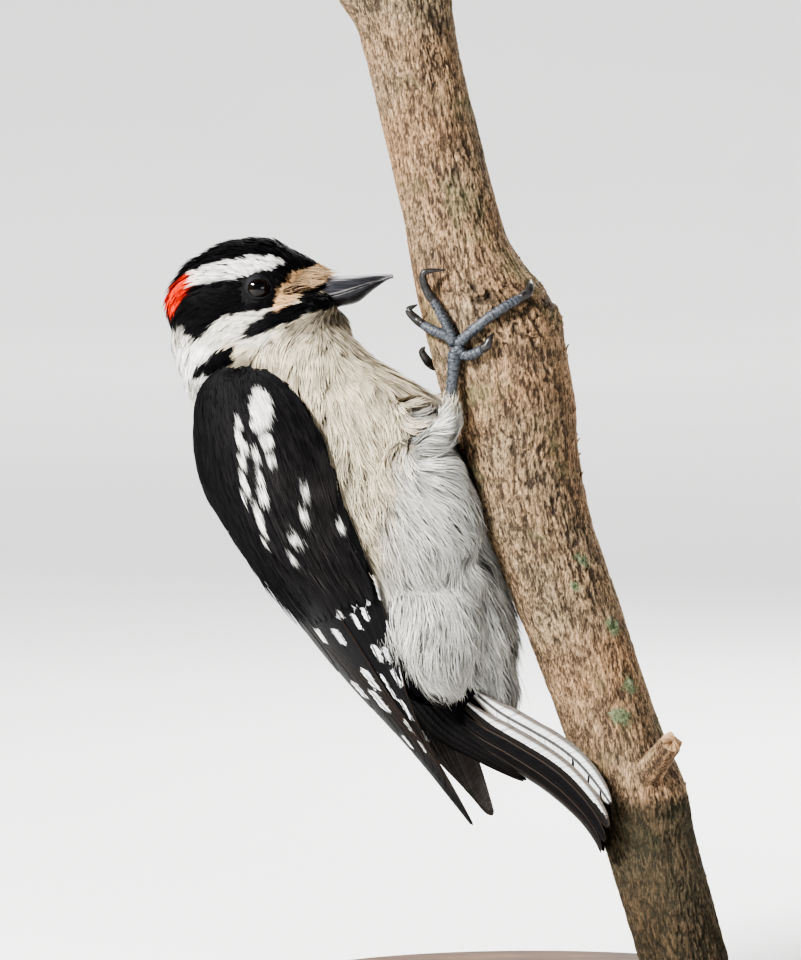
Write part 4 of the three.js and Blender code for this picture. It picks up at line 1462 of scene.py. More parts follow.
def add_wing(side, rng):
    """The wing's coverts, long feathers, lining and shoulder."""
    black, dusky = tints("plumage", "black", "dusky")

    def add(kind, vanes, made, length, mark, nodes=(), under=dusky):
        """One piece of vanes, black above and paler below."""
        _, _, along, across, _ = made
        n, size = along.shape
        top = black * rng.uniform(0.8, 1.35, (n, 1, 1))
        below = under * rng.uniform(0.8, 1.2, (n, 1, 1))
        colour = np.concatenate([np.repeat(part, size, axis=1) for part in (top, below)], axis=1)
        edge = np.where(length[:, None] < 20, 0, -across)
        replaces = [f"wing_{side}_{node}" for node in nodes]
        vanes.add(f"wing_{side}_{kind}", made, WAYS[side], length, colour, mark, edge, replaces)

    short = wing_coverts(rng)
    n = len(short)
    s = packed(short[:, 0], short[:, 0] + short[:, 2] / 100)
    t = packed(short[:, 1], short[:, 1])
    height = packed(-0.50, rng.uniform(-0.06, 0.08, n))
    vanes = VaneSet(on_wing, 21, 11)
    made = vanes.build(s, t, short[:, 3], height, np.full(n, 0.30), 0.06)
    jitter = rng.normal(0, 1, (n, 1, 1))
    mark = spot_strength(vanes.share[0] + 0.004 * jitter, vanes.share[1] + 0.012 * jitter)
    add("covert_vanes", vanes, made, short[:, 2], mark.reshape(n, -1), ["coverts"])

    long = flight_feathers()
    n = len(long)
    height = packed(long[:, 5], long[:, 5] + 0.75)
    vanes = VaneSet(on_wing, 84, 11, edge=leading_edge if side == "right" else np.zeros_like)
    made = vanes.build(long[:, :2], long[:, 2:4], long[:, 4], height, np.linspace(0.80, 0.72, n), 0.05)
    mark = flight_marks(*vanes.share, made[3].reshape(n, vanes.rows, vanes.columns))
    length = (long[:, 1] - long[:, 0]) * 100
    add("flight_vanes", vanes, made, length, mark.reshape(n, -1), ["primaries", "secondaries"])

    vanes = VaneSet(on_wing, 30, 24, thick=0.3)
    s, t, height = (np.array([ends]) for ends in ((0.0, 0.60), (0.5, 0.5), (-1.5, -1.6)))
    made = vanes.build(s, t, np.array([14.0]), height, np.array([0.6]), 0)
    add("lining", vanes, made, np.array([60.0]), -1.0, under=3 * dusky)
    add_shoulder(side, rng)


def add_shoulder(side, rng):
    """The soft small feathers that cover the upper half of the wing."""
    rows = []
    for s in np.arange(-0.02, 0.44, 0.0125):
        width = max(5.0, float(wing_width(max(0, s))))
        count = max(4, round(width / 1.25))
        t = 0.03 + 0.94 * (np.arange(count) + rng.uniform(0.1, 0.9, count)) / count
        rows += [(s + rng.uniform(-0.006, 0.006), share) for share in t]
    s, t = np.array(rows).T
    keep = rng.random(len(s)) > 0.80 * ease(s, 0.24, 0.44)
    s, t = s[keep], t[keep]
    length = np.interp(s, (0, 0.2, 0.44), (5.0, 6.5, 10.5)) * rng.uniform(0.8, 1.2, len(s))
    at = s[:, None] + length[:, None] / 100 * np.linspace(0, 1, 6)
    place, out = on_wing(at, np.broadcast_to(t[:, None], at.shape), 0.0)
    place = place + 0.10 * out
    style = Style(15, 5, 0.20, 0, 0.03, 0.25, 0.95, 0.5)
    tufts = strands(place, out, length, 0.075 * length, style, rng)
    _, share, sway, _, _ = tufts
    way = unit(np.cross(unit(place[:, 1] - place[:, 0]), out[:, 0]))
    turn = np.sign((way * (on_wing(s, t + 0.02, 0.0)[0] - on_wing(s, t, 0.0)[0])).sum(-1))
    across = t[:, None, None] + turn[:, None, None] * sway / wing_width(s)[:, None, None]
    mark = spot_strength(s[:, None, None] + share * length[:, None, None] / 100, across)
    black, dusky, white = tints("plumage", "black", "dusky", "white")
    ragged = mark + rng.normal(0, 0.14, (len(s), style.strands, 1))
    worn = 0.04 + 0.24 * ease(s, 0.1, 0.3) * ease(-t, -0.75, -0.3)
    brown = rng.random((len(s), 1, 1, 1)) * worn[:, None, None, None]
    colour = blend(blend(black * 1.1, dusky, brown), white, ease(ragged, -0.05, 0.12)[..., None])
    corner = 0.01 + 0.97 * packed(t, (s + 0.03) / 0.45)
    name = f"wing_{side}_shoulder"
    add_tufts(name, tufts, colour, corner, rng, flip=-WAYS[side])


# ---------------------------------------------------------------- tail
TAIL = Spline(TAIL_LINE)


def on_tail(s, u, aside):
    """The tail's surface: u from -1 at the right edge to 1 at the left, s from root to tip."""
    half = blend(TAIL_HALF[0], TAIL_HALF[1], np.sqrt(np.clip(s, 0, 1)))
    arc_share, folded_in, widening = 1.35, 0.72, 0.12
    u = u + aside / (half * arc_share)

    def place(s, u):
        """A place of the surface."""
        at = TAIL.at(s)
        along = TAIL.heading(s, 0.02)
        belly = packed(-along[..., 2], 0 * s, along[..., 0])
        free = np.where(u > 0, ease(s, 0.5, 0.95), 0)
        near = np.where(u < 0, 0.34, -0.30) * ease(-s, -0.95, -0.30)
        opening = 0.85 + 0.15 * np.minimum(1, s * 2)
        drop = TAIL_DROP * (1 - folded_in * free) * opening * (1 + near)
        at = at + belly * (drop * (1 - np.cos(np.abs(u) * math.pi / 2)))[..., None]
        at[..., 1] += half * np.sin(np.clip(u, -1.15, 1.15) * math.pi / 2) * (1 + widening * free)
        return at

    at = place(s, u)
    ahead = place(np.minimum(s + 0.01, 1), u) - place(np.maximum(s - 0.01, 0), u)
    left = place(s, u + 0.01) - place(s, u - 0.01)
    return at, unit(np.cross(left, ahead))


def add_tail_side(side, rng):
    """The tail feathers of one side, black in the middle and white outside."""
    (black,) = tints("plumage", "black")
    way = WAYS[side]
    i = np.arange(TAIL_FEATHERS)
    middle = way * (i + 0.5) / TAIL_FEATHERS
    layer = -0.05 - 0.13 * i
    vanes = VaneSet(on_tail, 60, 13, thick=0.18)
    half = np.linspace(1.9, 1.3, TAIL_FEATHERS)
    tips = np.full(TAIL_FEATHERS, 0.72)
    s, t, height = packed(0.03, TAIL_SHARES), packed(middle, middle), packed(layer, layer)
    made = vanes.build(s, t, half, height, tips, 0.05)
    _, _, along, across, _ = made
    outer = across * way
    bar_places, bar_half = (0.62, 0.76, 0.89), 0.028
    bars = np.max([1 - np.abs(along + 0.05 * outer - at) / bar_half for at in bar_places], axis=0)
    half_white = np.clip((outer - 0.05) * 3, -1, 1) - ease(along, 0.75, 0.95)
    paleness = np.select([i[:, None] == 4, i[:, None] == 3], [1.0 + 0 * along, half_white], -1.0)
    mark = np.where(paleness > 0, paleness - 1.6 * np.clip(bars, 0, 1) * (outer < 0.0), -1.0)
    # painted shade: on the white feathers the edge mask is widened into dark lines of painted shadow
    # along their edges, and pale_least greys all of their white
    pale, pale_gain, pale_least = i[:, None] >= 3, 1.36, 0.83
    edge = np.maximum(np.abs(across) * np.where(pale, pale_gain, 1.0), along**8)
    edge = np.maximum(edge, pale_least * pale)
    nodes = [f"tail_{side}_{k + 1}" for k in range(TAIL_FEATHERS)]
    colour = black * rng.uniform(0.9, 1.3)
    length = np.array(TAIL_SHARES) * 40
    as_built = -1
    vanes.add(f"tail_{side}_vanes", made, as_built, length, colour, mark, edge, nodes)


# the black feathers over the root of the tail: their outer and inner edges, seen from the side
RUMP_BACK = Spline(
    [(8.5, 0, -33.0), (12.5, 0, -40.5), (18.0, 0, -47.0), (27.0, 0, -51.8), (40.0, 0, -57.8)]
)
RUMP_SIDE = Spline(
    [(17.0, 0, -35.0), (20.5, 0, -38.5), (25.0, 0, -42.5), (32.0, 0, -48.0), (42.0, 0, -55.0)]
)


def on_rump(s, t, aside):
    """The side of the tail's root: t from 0 at its back edge to 1 at the vent."""
    back, inner = RUMP_BACK.at(s), RUMP_SIDE.at(s)
    t = t + aside / np.maximum(2.0, np.linalg.norm(inner - back, axis=-1))
    at = blend(back, inner, t[..., None])
    swell = np.sin(np.clip(0.04 + 0.8 * t, 0, 1) * math.pi / 2)
    at[..., 1] = -(0.3 + (5.6 - 2.4 * s) * swell)
    return at, unit(packed(-0.5 * (1 - t), -0.55 - 0.5 * t, -0.5 * (1 - t)))


def add_tail_root(side):
    """Black coverts from the rump down over the root of the tail."""
    (black,) = tints("plumage", "black")
    rows = [(s, t) for s in (0.0, 0.10, 0.20, 0.30) for t in np.linspace(0.05, 0.92, 6) + 0.4 * (s % 0.2)]
    s, t = np.array(rows).T
    n = len(s)
    height = packed(np.linspace(-0.5, -0.1, n), np.linspace(-0.2, 0.25, n))
    vanes = VaneSet(on_rump, 40, 11)
    s, t = packed(s, s + 0.62 - 0.08 * t), packed(t, t)
    made = vanes.build(s, t, np.full(n, 1.35), height, np.full(n, 0.3), 0.05)
    name = f"tail_{side}_coverts"
    vanes.add(name, made, WAYS[side], np.full(n, 15.0), black * 0.9, -1.0, 0.0, inward=True)


# ---------------------------------------------------------------- bill, eyes and nostril bristles


NOSTRIL_AT, NOSTRIL_REACH, NOSTRIL_DEPTH = (14.6, 2.3, 2.7), (1.7, 1.4, 0.55), 0.5


def mandible(way):
    """The upper mandible for way 1 and the lower for -1, in the head's frame.

    Gives its points and faces, and how pale each point is: a painted highlight along the top of the upper
    mandible, with paler worn cutting edges and tip.
    """
    narrower = 1.0 if way > 0 else 0.95
    thin, least = 0.02, 0.34
    stations = []
    for x, mouth, ridge, keel, width in BILL:
        reach = max(least, abs((ridge if way > 0 else keel) - mouth))
        up, down = (reach, thin) if way > 0 else (thin, reach)
        stations.append((x, 0, mouth + way * 0.05, up, down, width * narrower))
    points, faces = loft(stations, (0, -1, 0), (0.03, 0.03), power=1.8, rings=90, sides=64)
    x, heights, ridges, keels, _ = np.array(BILL).T
    mouth = np.interp(points[:, 0], x, heights)
    rim = np.interp(points[:, 0], x, ridges if way > 0 else keels)
    share = (points[:, 2] - mouth) / (rim - mouth)
    # painted highlight: the top of the upper mandible is painted pale; the cutting edges and the tip are
    # paler, worn horn
    pale = 0.75 * ease(share, 0.55, 0.9) * (way > 0) + 0.6 * ease(-share, -0.22, -0.06)
    pale = pale * ease(points[:, 0], 14.5, 18.0) + 0.5 * ease(points[:, 0], 25.0, 28.0)
    grooves = cloud(points * (0.12, 3.2, 3.2), 31) * 0.035
    inner = np.abs(points[:, 1]) / 3
    points[:, 1] *= 1 + grooves
    points[:, 2] += 0.03 * way * cloud(points * (0.5, 1.2, 1.2), 33) * inner
    if way > 0:
        for side in WAYS.values():
            away = (points - np.array(NOSTRIL_AT) * (1, side, 1)) / NOSTRIL_REACH
            points[:, 1] -= side * NOSTRIL_DEPTH * np.exp(-(away**2).sum(-1))
    return points, faces, pale


# the patch of bristles in the head's frame: its fore and hind edge from the top down, and the tips
BRISTLES_FORE = np.array([(13.2, 1.0, 6.2), (10.0, 5.6, -0.6)])
BRISTLES_HIND = np.array([(11.0, 3.6, 5.4), (6.8, 7.4, 0.8)])
BRISTLE_TIPS = Spline([(18.4, 0.5, 4.8), (15.0, 2.9, 3.4), (12.6, 3.9, 0.6)])


def add_bristles(skin, rng):
    """Tufts that lie forward from the face over the nostrils and the root of the bill."""
    count, stray, clearance = 110, 0.35, 0.35
    parts = []
    for way in (-1, 1):
        low, back = rng.random(count), rng.random(count)
        ahead = blend(*BRISTLES_FORE, low[:, None])
        behind = blend(*BRISTLES_HIND, low[:, None])
        start = blend(ahead, behind, back[:, None]) * (1, way, 1)
        tip = BRISTLE_TIPS.at(low)
        tip = blend(tip * (1, way, 1), start, 0.42 * back[:, None])
        tip = tip + rng.normal(0, stray, tip.shape)
        line = start[:, None] + (tip - start)[:, None] * np.linspace(0, 1, 6)[:, None]
        line = head_to_bird(line)
        flat = line.reshape(-1, 3)
        near, out = skin.nearest(flat)
        high = ((flat - near) * out).sum(-1, keepdims=True)
        flat = flat + out * np.maximum(0, clearance - high)
        free = turned(unit(bird_to_head(flat) - (13.0, 0, 2.5)) * (0.2, 1, 1), HEAD_YAW)
        out = unit(blend(out, free, np.clip(high / 2, 0, 1)))
        parts.append((flat.reshape(line.shape), out.reshape(line.shape), low))
    line, out, low = (np.concatenate(group) for group in zip(*parts))
    length = np.linalg.norm(line[:, -1] - line[:, 0], axis=-1)
    style = Style(11, 5, 0.20, 0, 0.06, 0.35, 0.72)
    tufts = strands(line, out, length, 0.07 * length, style, rng)
    shape = (len(line), style.strands, 1, 1)
    buff, pale = tints("plumage", "buff", "cream")
    colour = blend(buff, pale, rng.uniform(0.0, 0.55, shape)) * rng.uniform(0.7, 1.1, shape)
    darker = 0.12 + 0.75 * ease(low, 0.62, 0.85)[:, None, None, None]
    colour = np.where(rng.random(shape) < darker, np.array([0.055, 0.036, 0.024]), colour)
    corner = 0.01 + 0.97 * packed(rng.random(len(line)), low)
    add_tufts("bristles", tufts, colour, corner, rng)


def eye_axis(way):
    """Where the eye of a side looks, in the head's frame."""
    return unit(np.array([0.24, way * 1.0, 0.05]))


def eye_centre(way):
    """The middle of the eye of a side, in the head's frame."""
    return np.array([EYE_AT[0], way * EYE_AT[1], EYE_AT[2]])


def ball(axis, rings, sides, reach=math.pi):
    """Directions from an axis out to an angle, ring by ring, and each one's angle."""
    first = unit(np.cross(axis, (0, 0, 1.0)))
    second = np.cross(axis, first)
    angle = np.linspace(0.002, reach, rings)[:, None]
    turn = np.linspace(0, 2 * math.pi, sides, endpoint=False)[None, :]
    round_axis = np.cos(turn)[..., None] * first + np.sin(turn)[..., None] * second
    way = np.cos(angle)[..., None] * axis + np.sin(angle)[..., None] * round_axis
    return way, np.broadcast_to(angle, (rings, sides)), np.broadcast_to(turn, (rings, sides))


def add_eye(side):
    """One eyeball, with a cornea that bulges."""
    way = WAYS[side]
    rings, sides, clearance = 64, 96, 0.04
    out, angle, _ = ball(eye_axis(way), rings, sides, math.pi - 0.002)
    bulge = EYE_RADIUS * (1 + 0.035 * np.exp(-((angle / 0.5) ** 2)))
    points = eye_centre(way) + out * (bulge - clearance)[..., None]
    faces = grid_faces(rings, sides, wrap=True)
    mesh = new_mesh(f"eyeball_{side}", bird_to_world(head_to_bird(points.reshape(-1, 3))), faces)
    paint_points(mesh, "Ring", angle.reshape(-1))
    mesh = merged(mesh, 0.02)
    add_piece(f"eyeball_{side}", mesh, eye_finish(), (f"eye_{side}",))


def lid(way):
    """A folded rim of bare skin round the eye, a little narrower above and below."""
    rings, sides, beads = 26, 96, 26
    out, _, turn = ball(eye_axis(way), rings, sides)
    share = np.linspace(0, 1, rings)[:, None]
    opening, outer = 0.72 + 0.10 * np.cos(2 * turn[0]), 1.42
    angle = opening + (outer - opening) * share
    axis = eye_axis(way)
    flat = unit(out[rings // 2] - axis * (out[rings // 2] @ axis)[:, None])
    way_out = np.cos(angle)[..., None] * axis + np.sin(angle)[..., None] * flat

    def fold(at, wide):
        """A fold that runs round the eye."""
        return np.exp(-(((share - at) / wide) ** 2))

    rim = 0.11 * fold(0.07, 0.05) + 0.06 * fold(0.26, 0.06)
    beading = 0.03 * np.sin(turn * beads) * fold(0.09, 0.07)
    tuck = -0.5 * np.clip(1 - share / 0.05, 0, 1)
    radius = EYE_RADIUS + 0.06 + rim + beading + tuck * 0.4 + 0.10 * share
    return eye_centre(way) + way_out * radius[..., None], grid_faces(rings, sides, wrap=True)


def add_lids():
    """The bare rims of both eyes."""
    parts = []
    for way in (-1, 1):
        points, faces = lid(way)
        parts.append((head_to_bird(points.reshape(-1, 3)), faces))
    points, faces = joined(parts)
    mesh = new_mesh("eyelids", bird_to_world(points), faces)
    mesh = with_modifiers(mesh, ("SOLIDIFY", {"thickness": 0.2 * MM, "offset": 0.0}))
    add_piece("eyelids", mesh, lid_finish())


# ---------------------------------------------------------------- feet


def on_stem(z, degrees, off=0.0):
    """A point at a height and an angle round the stem, stood off its surface."""
    z, angle = np.asarray(z, float), np.radians(degrees)
    axis, radius = stem_axis(z)
    radius = radius + off
    for at, facing, out, half, sharp in KNOTS:
        towards = np.maximum(0, np.cos(angle - math.radians(facing)))
        radius = radius + out * np.exp(-(((z - at) / half) ** 2)) * towards**sharp
    x = axis + radius * STEM_STRETCH * np.cos(angle)
    return packed(x, radius * np.sin(angle), z)


STEM_CURVE = Spline([(x, r, z) for z, x, r in STEM]).at(np.linspace(0, 1, 1500))


def stem_axis(z):
    """The axis's X and the radius at a height."""
    height = STEM_CURVE[:, 2]
    return np.interp(z, height, STEM_CURVE[:, 0]), np.interp(z, height, STEM_CURVE[:, 1])


def scaly(points, rings, sides, scute, depth):
    """A tube's points with overlapping scutes along its front and grains behind, and their shade."""
    grid = points.reshape(rings, sides, 3)
    centre = grid.mean(axis=1, keepdims=True)
    arc = np.cumsum(np.linalg.norm(np.diff(centre[:, 0], axis=0, prepend=centre[:1, 0]), axis=-1))
    turn = np.arange(sides)[None, :] / sides
    front = 0.5 + 0.5 * np.cos(2 * math.pi * turn)
    place = arc[:, None] / scute + 0.35 * np.cos(2 * math.pi * turn)
    phase = place - np.floor(place)
    plate = (phase**1.6 - 0.5) * ease(phase, 1.0, 0.94)
    grain = cloud(grid * 3.4, 41)
    swell = depth * (plate * (0.25 + 0.75 * front) + 0.35 * grain * (1 - front))
    scaled = centre + (grid - centre) * (1 + swell[..., None])
    shade = np.clip(1 - 1.6 * np.exp(-((phase / 0.12) ** 2)) * (0.3 + 0.7 * front), 0, 1)
    return scaled.reshape(-1, 3), shade.reshape(-1)


def add_foot(side):
    """One foot: tarsus and toes with scutes, pads and hooked claws."""
    foot = FEET[side]
    lift = TOE_RADIUS + GAP
    joint = on_stem(*foot["joint"], lift + 0.3)
    ankle = bird_to_world(np.array(foot["ankle"]))
    inwards = blend(ankle, bird_to_world(np.array(foot["knee"])), 0.22)
    rings, sides = 110, 26
    parts, shades = [], []

    def limb(line, radii, scute, depth, side_way):
        """Adds a scaly tube."""
        points, faces = tube(line, radii, side_way, caps=(0.10, 0.10), rings=rings, sides=sides)
        points, shade = scaly(points, rings, sides, scute, depth)
        parts.append((points, faces))
        shades.append(shade)

    crossways = (0.9, 0.3, 0.3)
    middle = blend(joint, ankle, 0.5)
    radii = [TARSUS_RADIUS * share for share in (1.25, 0.92, 1.2, 1.1)]
    limb([joint, middle, ankle, inwards], radii, 1.05, 0.30, crossways)
    nails = []
    for number, (pad, claw) in enumerate(zip(foot["pads"], foot["claws"])):
        line = [on_stem(z, angle, lift) for z, angle in pad]
        hook = [on_stem(z, angle, off + GAP + 0.1) for z, angle, off in claw]
        way = crossways if number == 2 else (0.2, 0.1, 0.97)
        radii = np.linspace(TOE_RADIUS * 1.05, TOE_RADIUS * 0.82, len(line) + 1)
        limb([joint, *line], radii, 0.8, 0.34, way)
        curve = [blend(line[-2], line[-1], 0.8), *hook]
        radii = [TOE_RADIUS * share for share in (0.84, 0.80, 0.60)] + [0.12]
        nails.append(tube(curve, radii, way, caps=(0.12, 0.02), rings=48, sides=20))
    points, faces = joined(parts)
    mesh = new_mesh(f"foot_{side}", points, faces)
    paint_points(mesh, "Scute", np.concatenate(shades))
    nodes = [f"tarsus_{side}"] + [f"toe_{side}_{i + 1}" for i in range(4)]
    add_piece(f"foot_{side}", merged(mesh), leg_finish(), nodes)
    nodes = [f"claw_{side}_{i + 1}" for i in range(4)]
    add_piece(f"claws_{side}", welded(*joined(nails)), claw_finish(), nodes)


# ---------------------------------------------------------------- stem and stand
# the stem's radius, near enough, where its bark is laid out
BARK_REACH = 9.0
# height, angle and reach of each patch of lichen
LICHENS = [(91.7, -55, 1.5), (87.0, -74, 1.2), (79.3, -43, 2.1), (68.5, -47, 2.2), (62.8, -75, 2.2)]


def bark_height(z, angle, points):
    """The bark's relief in shares of its depth, -1 in a crack and about 0.4 on a plate."""
    warp = cloud(points / 5.0, 51, 2)
    where = packed(np.cos(angle) * BARK_REACH, np.sin(angle) * BARK_REACH, z)
    where = where + 0.9 * packed(warp, cloud(points / 4.0, 52, 2), 0 * z)
    cracks = 1 - np.abs(cloud(where / (0.55, 0.55, 3.0), 53, 2)) * 6.0
    deep = 1 - np.abs(cloud(where / (1.25, 1.25, 8.5), 55, 2)) * 11.0
    cross = 1 - np.abs(cloud(where / (2.2, 2.2, 1.2), 57)) * 7.0
    groove = np.maximum(np.clip(cracks, 0, 1) ** 1.3 * 0.72, 0.9 * np.clip(deep, 0, 1) ** 1.5)
    groove = np.maximum(groove, 0.30 * np.clip(cross, 0, 1) ** 2 * (np.clip(cracks, 0, 1) > 0.05))
    groove = groove * (0.75 + 0.35 * ease(cloud(points / 9.0, 67), -0.4, 0.5))
    grain = 0.42 * cloud(where / (0.42, 0.42, 2.2), 59, 2) + 0.3 * cloud(points / 3.5, 61, 2)
    return 0.30 + grain - 1.2 * groove


def paint_bark(mesh, relief, cut, lichen=-1.0):
    """Stores what the bark's finish reads: the relief, sawn wood where cut is over 0, and lichen."""
    for name, values in (("Relief", relief), ("Cut", cut), ("Lichen", lichen)):
        values = np.asarray(values, float).reshape(-1)
        paint_points(mesh, name, np.broadcast_to(values, len(mesh.vertices)))


def add_stem():
    """The stem with its bark, knot and sawn ends."""
    wood = settings("stand")
    rows, columns, cap = wood.bark_rows, 224, 16
    sawn, side = np.linspace(0.0, 1, cap) ** 0.8, np.linspace(STEM_FOOT, STEM_TOP, rows)[1:-1]
    share = np.concatenate([sawn, np.ones(rows - 2), sawn[::-1]])
    height = np.concatenate([np.full(cap, STEM_FOOT), side, np.full(cap, STEM_TOP)])
    z, degrees = np.meshgrid(height, np.arange(columns) * 360 / columns, indexing="ij")
    angle = np.radians(degrees)
    share = np.broadcast_to(share[:, None], z.shape)
    bare = on_stem(z, degrees)
    relief = bark_height(z, angle, bare)
    knot_at, knot_reach, knot_facing = 139.5, 5.5, -12
    facing = np.cos(np.radians(degrees - knot_facing))
    knot = np.exp(-(((z - knot_at) / knot_reach) ** 2)) * ease(facing, -0.3, 0.6)
    relief = relief + knot * 0.9 * cloud(bare / (2.0, 2.0, 1.1), 63, 3)
    lichen = np.full(z.shape, -1.0)
    for at, facing, size in LICHENS:
        aside = BARK_REACH * np.radians((degrees - facing + 180) % 360 - 180)
        away = np.hypot(z - at, aside)
        lichen = np.maximum(lichen, 1 - away / size)
    lichen = np.maximum(-1, lichen + 0.55 * cloud(bare / 0.75, 66, 2) - 0.1)
    relief = relief + 0.9 * ease(lichen, 0.1, 0.5) * (0.6 + cloud(bare / 0.45, 68))
    depth = wood.bark_relief / MM * (1 + 1.6 * knot)
    out = packed(np.cos(angle), np.sin(angle), 0 * z)
    rim = ease(np.minimum(z - STEM_FOOT, STEM_TOP - z), 0, 0.8)
    on_side, on_cut = share > 0.999, share < 0.97
    surface = bare + out * (depth * relief * on_side * (0.3 + 0.7 * rim))[..., None]
    axis, _ = stem_axis(z)
    centre = packed(axis, 0 * z, z)
    points = centre + (surface - centre) * np.maximum(share, 0.002)[..., None]
    saw, sunk = 0.12 * cloud(points / (6.0, 0.5, 1.0), 65) * on_cut, 0.15 * on_cut
    points[..., 2] += np.where(z < 100, 1, -1) * (saw + sunk)
    mesh = new_mesh("stem", points.reshape(-1, 3), grid_faces(len(height), columns, wrap=True))
    paint_bark(mesh, relief, np.where(share < 0.965, 1 - share * 0.9, 0.0), lichen)
    add_piece("stem", mesh, bark_finish(), ("perch",))


def add_snag():
    """The broken side twig, with its flared collar and splintered tip."""
    foot, tip = np.array(STUB_FOOT), np.array(STUB_TIP)
    along = unit(tip - foot)
    line = [foot - 3 * along, foot + 2 * along, blend(foot, tip, 0.6), tip + 0.3 * along]
    rings, sides = 90, 72
    radii = (5.2, 3.6, STUB_RADIUS + 0.5, STUB_RADIUS + 0.1)
    points, faces = tube(line, radii, (0, 1, 0), caps=(0.05, 0.03), rings=rings, sides=sides)
    grid = points.reshape(rings, sides, 3)
    centre = grid.mean(axis=1, keepdims=True)
    turn = np.arange(sides)[None, :] * 2 * math.pi / sides
    x, y = np.cos(turn), np.sin(turn)
    relief = cloud(packed(3 * x, 3 * y, np.linspace(0, 5, rings)[:, None]), 71, 3)
    end = ease((grid - tip) @ along, -1.2, 0.4)
    splinter = 1.6 * cloud(packed(4 * x, 4 * y, 0 * centre[..., 0]), 73, 2)
    grid = centre + (grid - centre) * (1 + 0.16 * relief)[..., None]
    grid = grid + (end * splinter)[..., None] * along
    mesh = new_mesh("snag", grid.reshape(-1, 3), faces)
    paint_bark(mesh, relief * 0.9, 0.5 * (end > 0.7))
    add_piece("snag", merged(mesh), bark_finish())


def add_flakes(rng):
    """Curled chips of bark that stand off the knot and the outer edge of the stem."""
    places = [(rng.normal(138, 5.5), rng.normal(-4, 30)) for _ in range(34)]
    places += [(rng.uniform(106, 128), rng.normal(-2, 14)) for _ in range(12)]
    places += [(rng.uniform(20, 195), rng.uniform(0, 360)) for _ in range(30)]
    v, u = np.meshgrid(np.linspace(0, 1, 7), np.linspace(-1, 1, 5), indexing="ij")
    shape = np.sin(math.pi * np.clip(v * 0.85 + 0.12, 0, 1)) ** 0.6
    parts = []
    for z, angle in places:
        z = float(np.clip(z, 20, 193))
        long, wide = rng.uniform(0.9, 2.2), rng.uniform(0.25, 0.7)
        curl = rng.uniform(0.1, 0.8)
        wide_here = wide * shape * (1 + 0.35 * cloud(packed(v * 3, u * 2, z), 77))
        turn = angle + np.degrees(u * wide_here / 10)
        sheets = [on_stem(z + (v - 0.3) * long, turn, off + curl * v**2) for off in (0.15, -0.1)]
        parts.append((np.concatenate(sheets).reshape(-1, 3), vane_faces(*v.shape)))
    points, faces = joined(parts)
    mesh = new_mesh("bark_flakes", points, faces)
    paint_bark(mesh, 0.3 + 0.2 * cloud(points * 1.5, 79), 0.0)
    add_piece("bark_flakes", mesh, bark_finish())


def lathe(profile, sides=160):
    """Points and quads of a turned piece from radii and heights."""
    profile = np.array(profile, float)
    turn = np.linspace(0, 2 * math.pi, sides, endpoint=False)[None, :]
    radius, height = profile[:, :1], profile[:, 1:]
    points = packed(radius * np.cos(turn), radius * np.sin(turn), height)
    return points.reshape(-1, 3), grid_faces(len(profile), sides, wrap=True)


def arc_profile(centre, radius, start, end, steps=10):
    """Radii and heights round an arc, from one angle in degrees to another."""
    angles = np.radians(np.linspace(start, end, steps))
    return [(centre[0] + radius * math.cos(a), centre[1] + radius * math.sin(a)) for a in angles]


def add_base():
    """The turned base with its rounded foot, bead and step."""
    r, h = BASE_RADIUS, BASE_HEIGHT
    profile = [(0.02, 0.0), (r * 0.5, 0.0), (r - 2.0, 0.0)]
    profile += arc_profile((r - 1.5, 1.5), 1.5, -90, 0, 8)
    profile += arc_profile((r - 2.6, 5.6), 2.6, 0, 80, 12)
    profile += [(r - 3.2, 8.35), (r - 3.9, 8.35)]
    profile += arc_profile((r - 5.6, 8.4), 1.6, 0, 90, 9)
    profile += [(r * share, h) for share in (0.86, 0.7, 0.5, 0.25)] + [(0.02, h)]
    points, faces = lathe(profile, 200)
    mesh = welded(points, faces[:, ::-1])
    add_piece("base", mesh, wood_finish(), ("stand_base",))


def add_rods():
    """Two steel rods, each with a small collar on the base."""
    foot = stem_axis(STEM_FOOT)[0]
    low, high, r = BASE_HEIGHT, STEM_FOOT, ROD_RADIUS
    collar = ((1.2, 0.0), (1.4, 0.2), (1.4, 1.0), (1.1, 1.3), (0.1, 1.4), (0.0, 1.6))
    profile = [(0.02, low)] + [(r + wide, low + up) for wide, up in collar]
    profile += [(r, high - 0.3), (r, high + 0.4), (0.02, high + 0.4)]
    points, faces = lathe(profile, 56)
    rods = [(points + (foot, way * ROD_SPREAD, 0), faces[:, ::-1]) for way in (-1, 1)]
    mesh = welded(*joined(rods))
    add_piece("rods", mesh, steel_finish(), ("stand_rod_1", "stand_rod_2"))


# ---------------------------------------------------------------- materials


@lru_cache(maxsize=None)
def coat_finish():
    """Soft feathers in the colour that each of them carries."""
    f = Finish("coat")
    colour = f.attribute("Plumage")
    at = f.place()
    mottle = f.ramp(f.noise(at, 0.45, 3), [(0.25, (0.84, 0.83, 0.82)), (0.75, (1.06, 1.05, 1.04))])
    fine = f.ramp(f.noise(at, 4.5, 2), [(0.3, (0.88, 0.88, 0.88)), (0.7, (1.06, 1.06, 1.06))])
    base = f.times(f.times(colour, mottle), fine)
    light = f.node("ShaderNodeRGBToBW", None, {"Color": colour})
    rough = 0.55 + 0.25 * f.ease(light, 0.02, 0.30)
    return f.surface(Base_Color=base, Roughness=rough, Specular_IOR_Level=0.06)


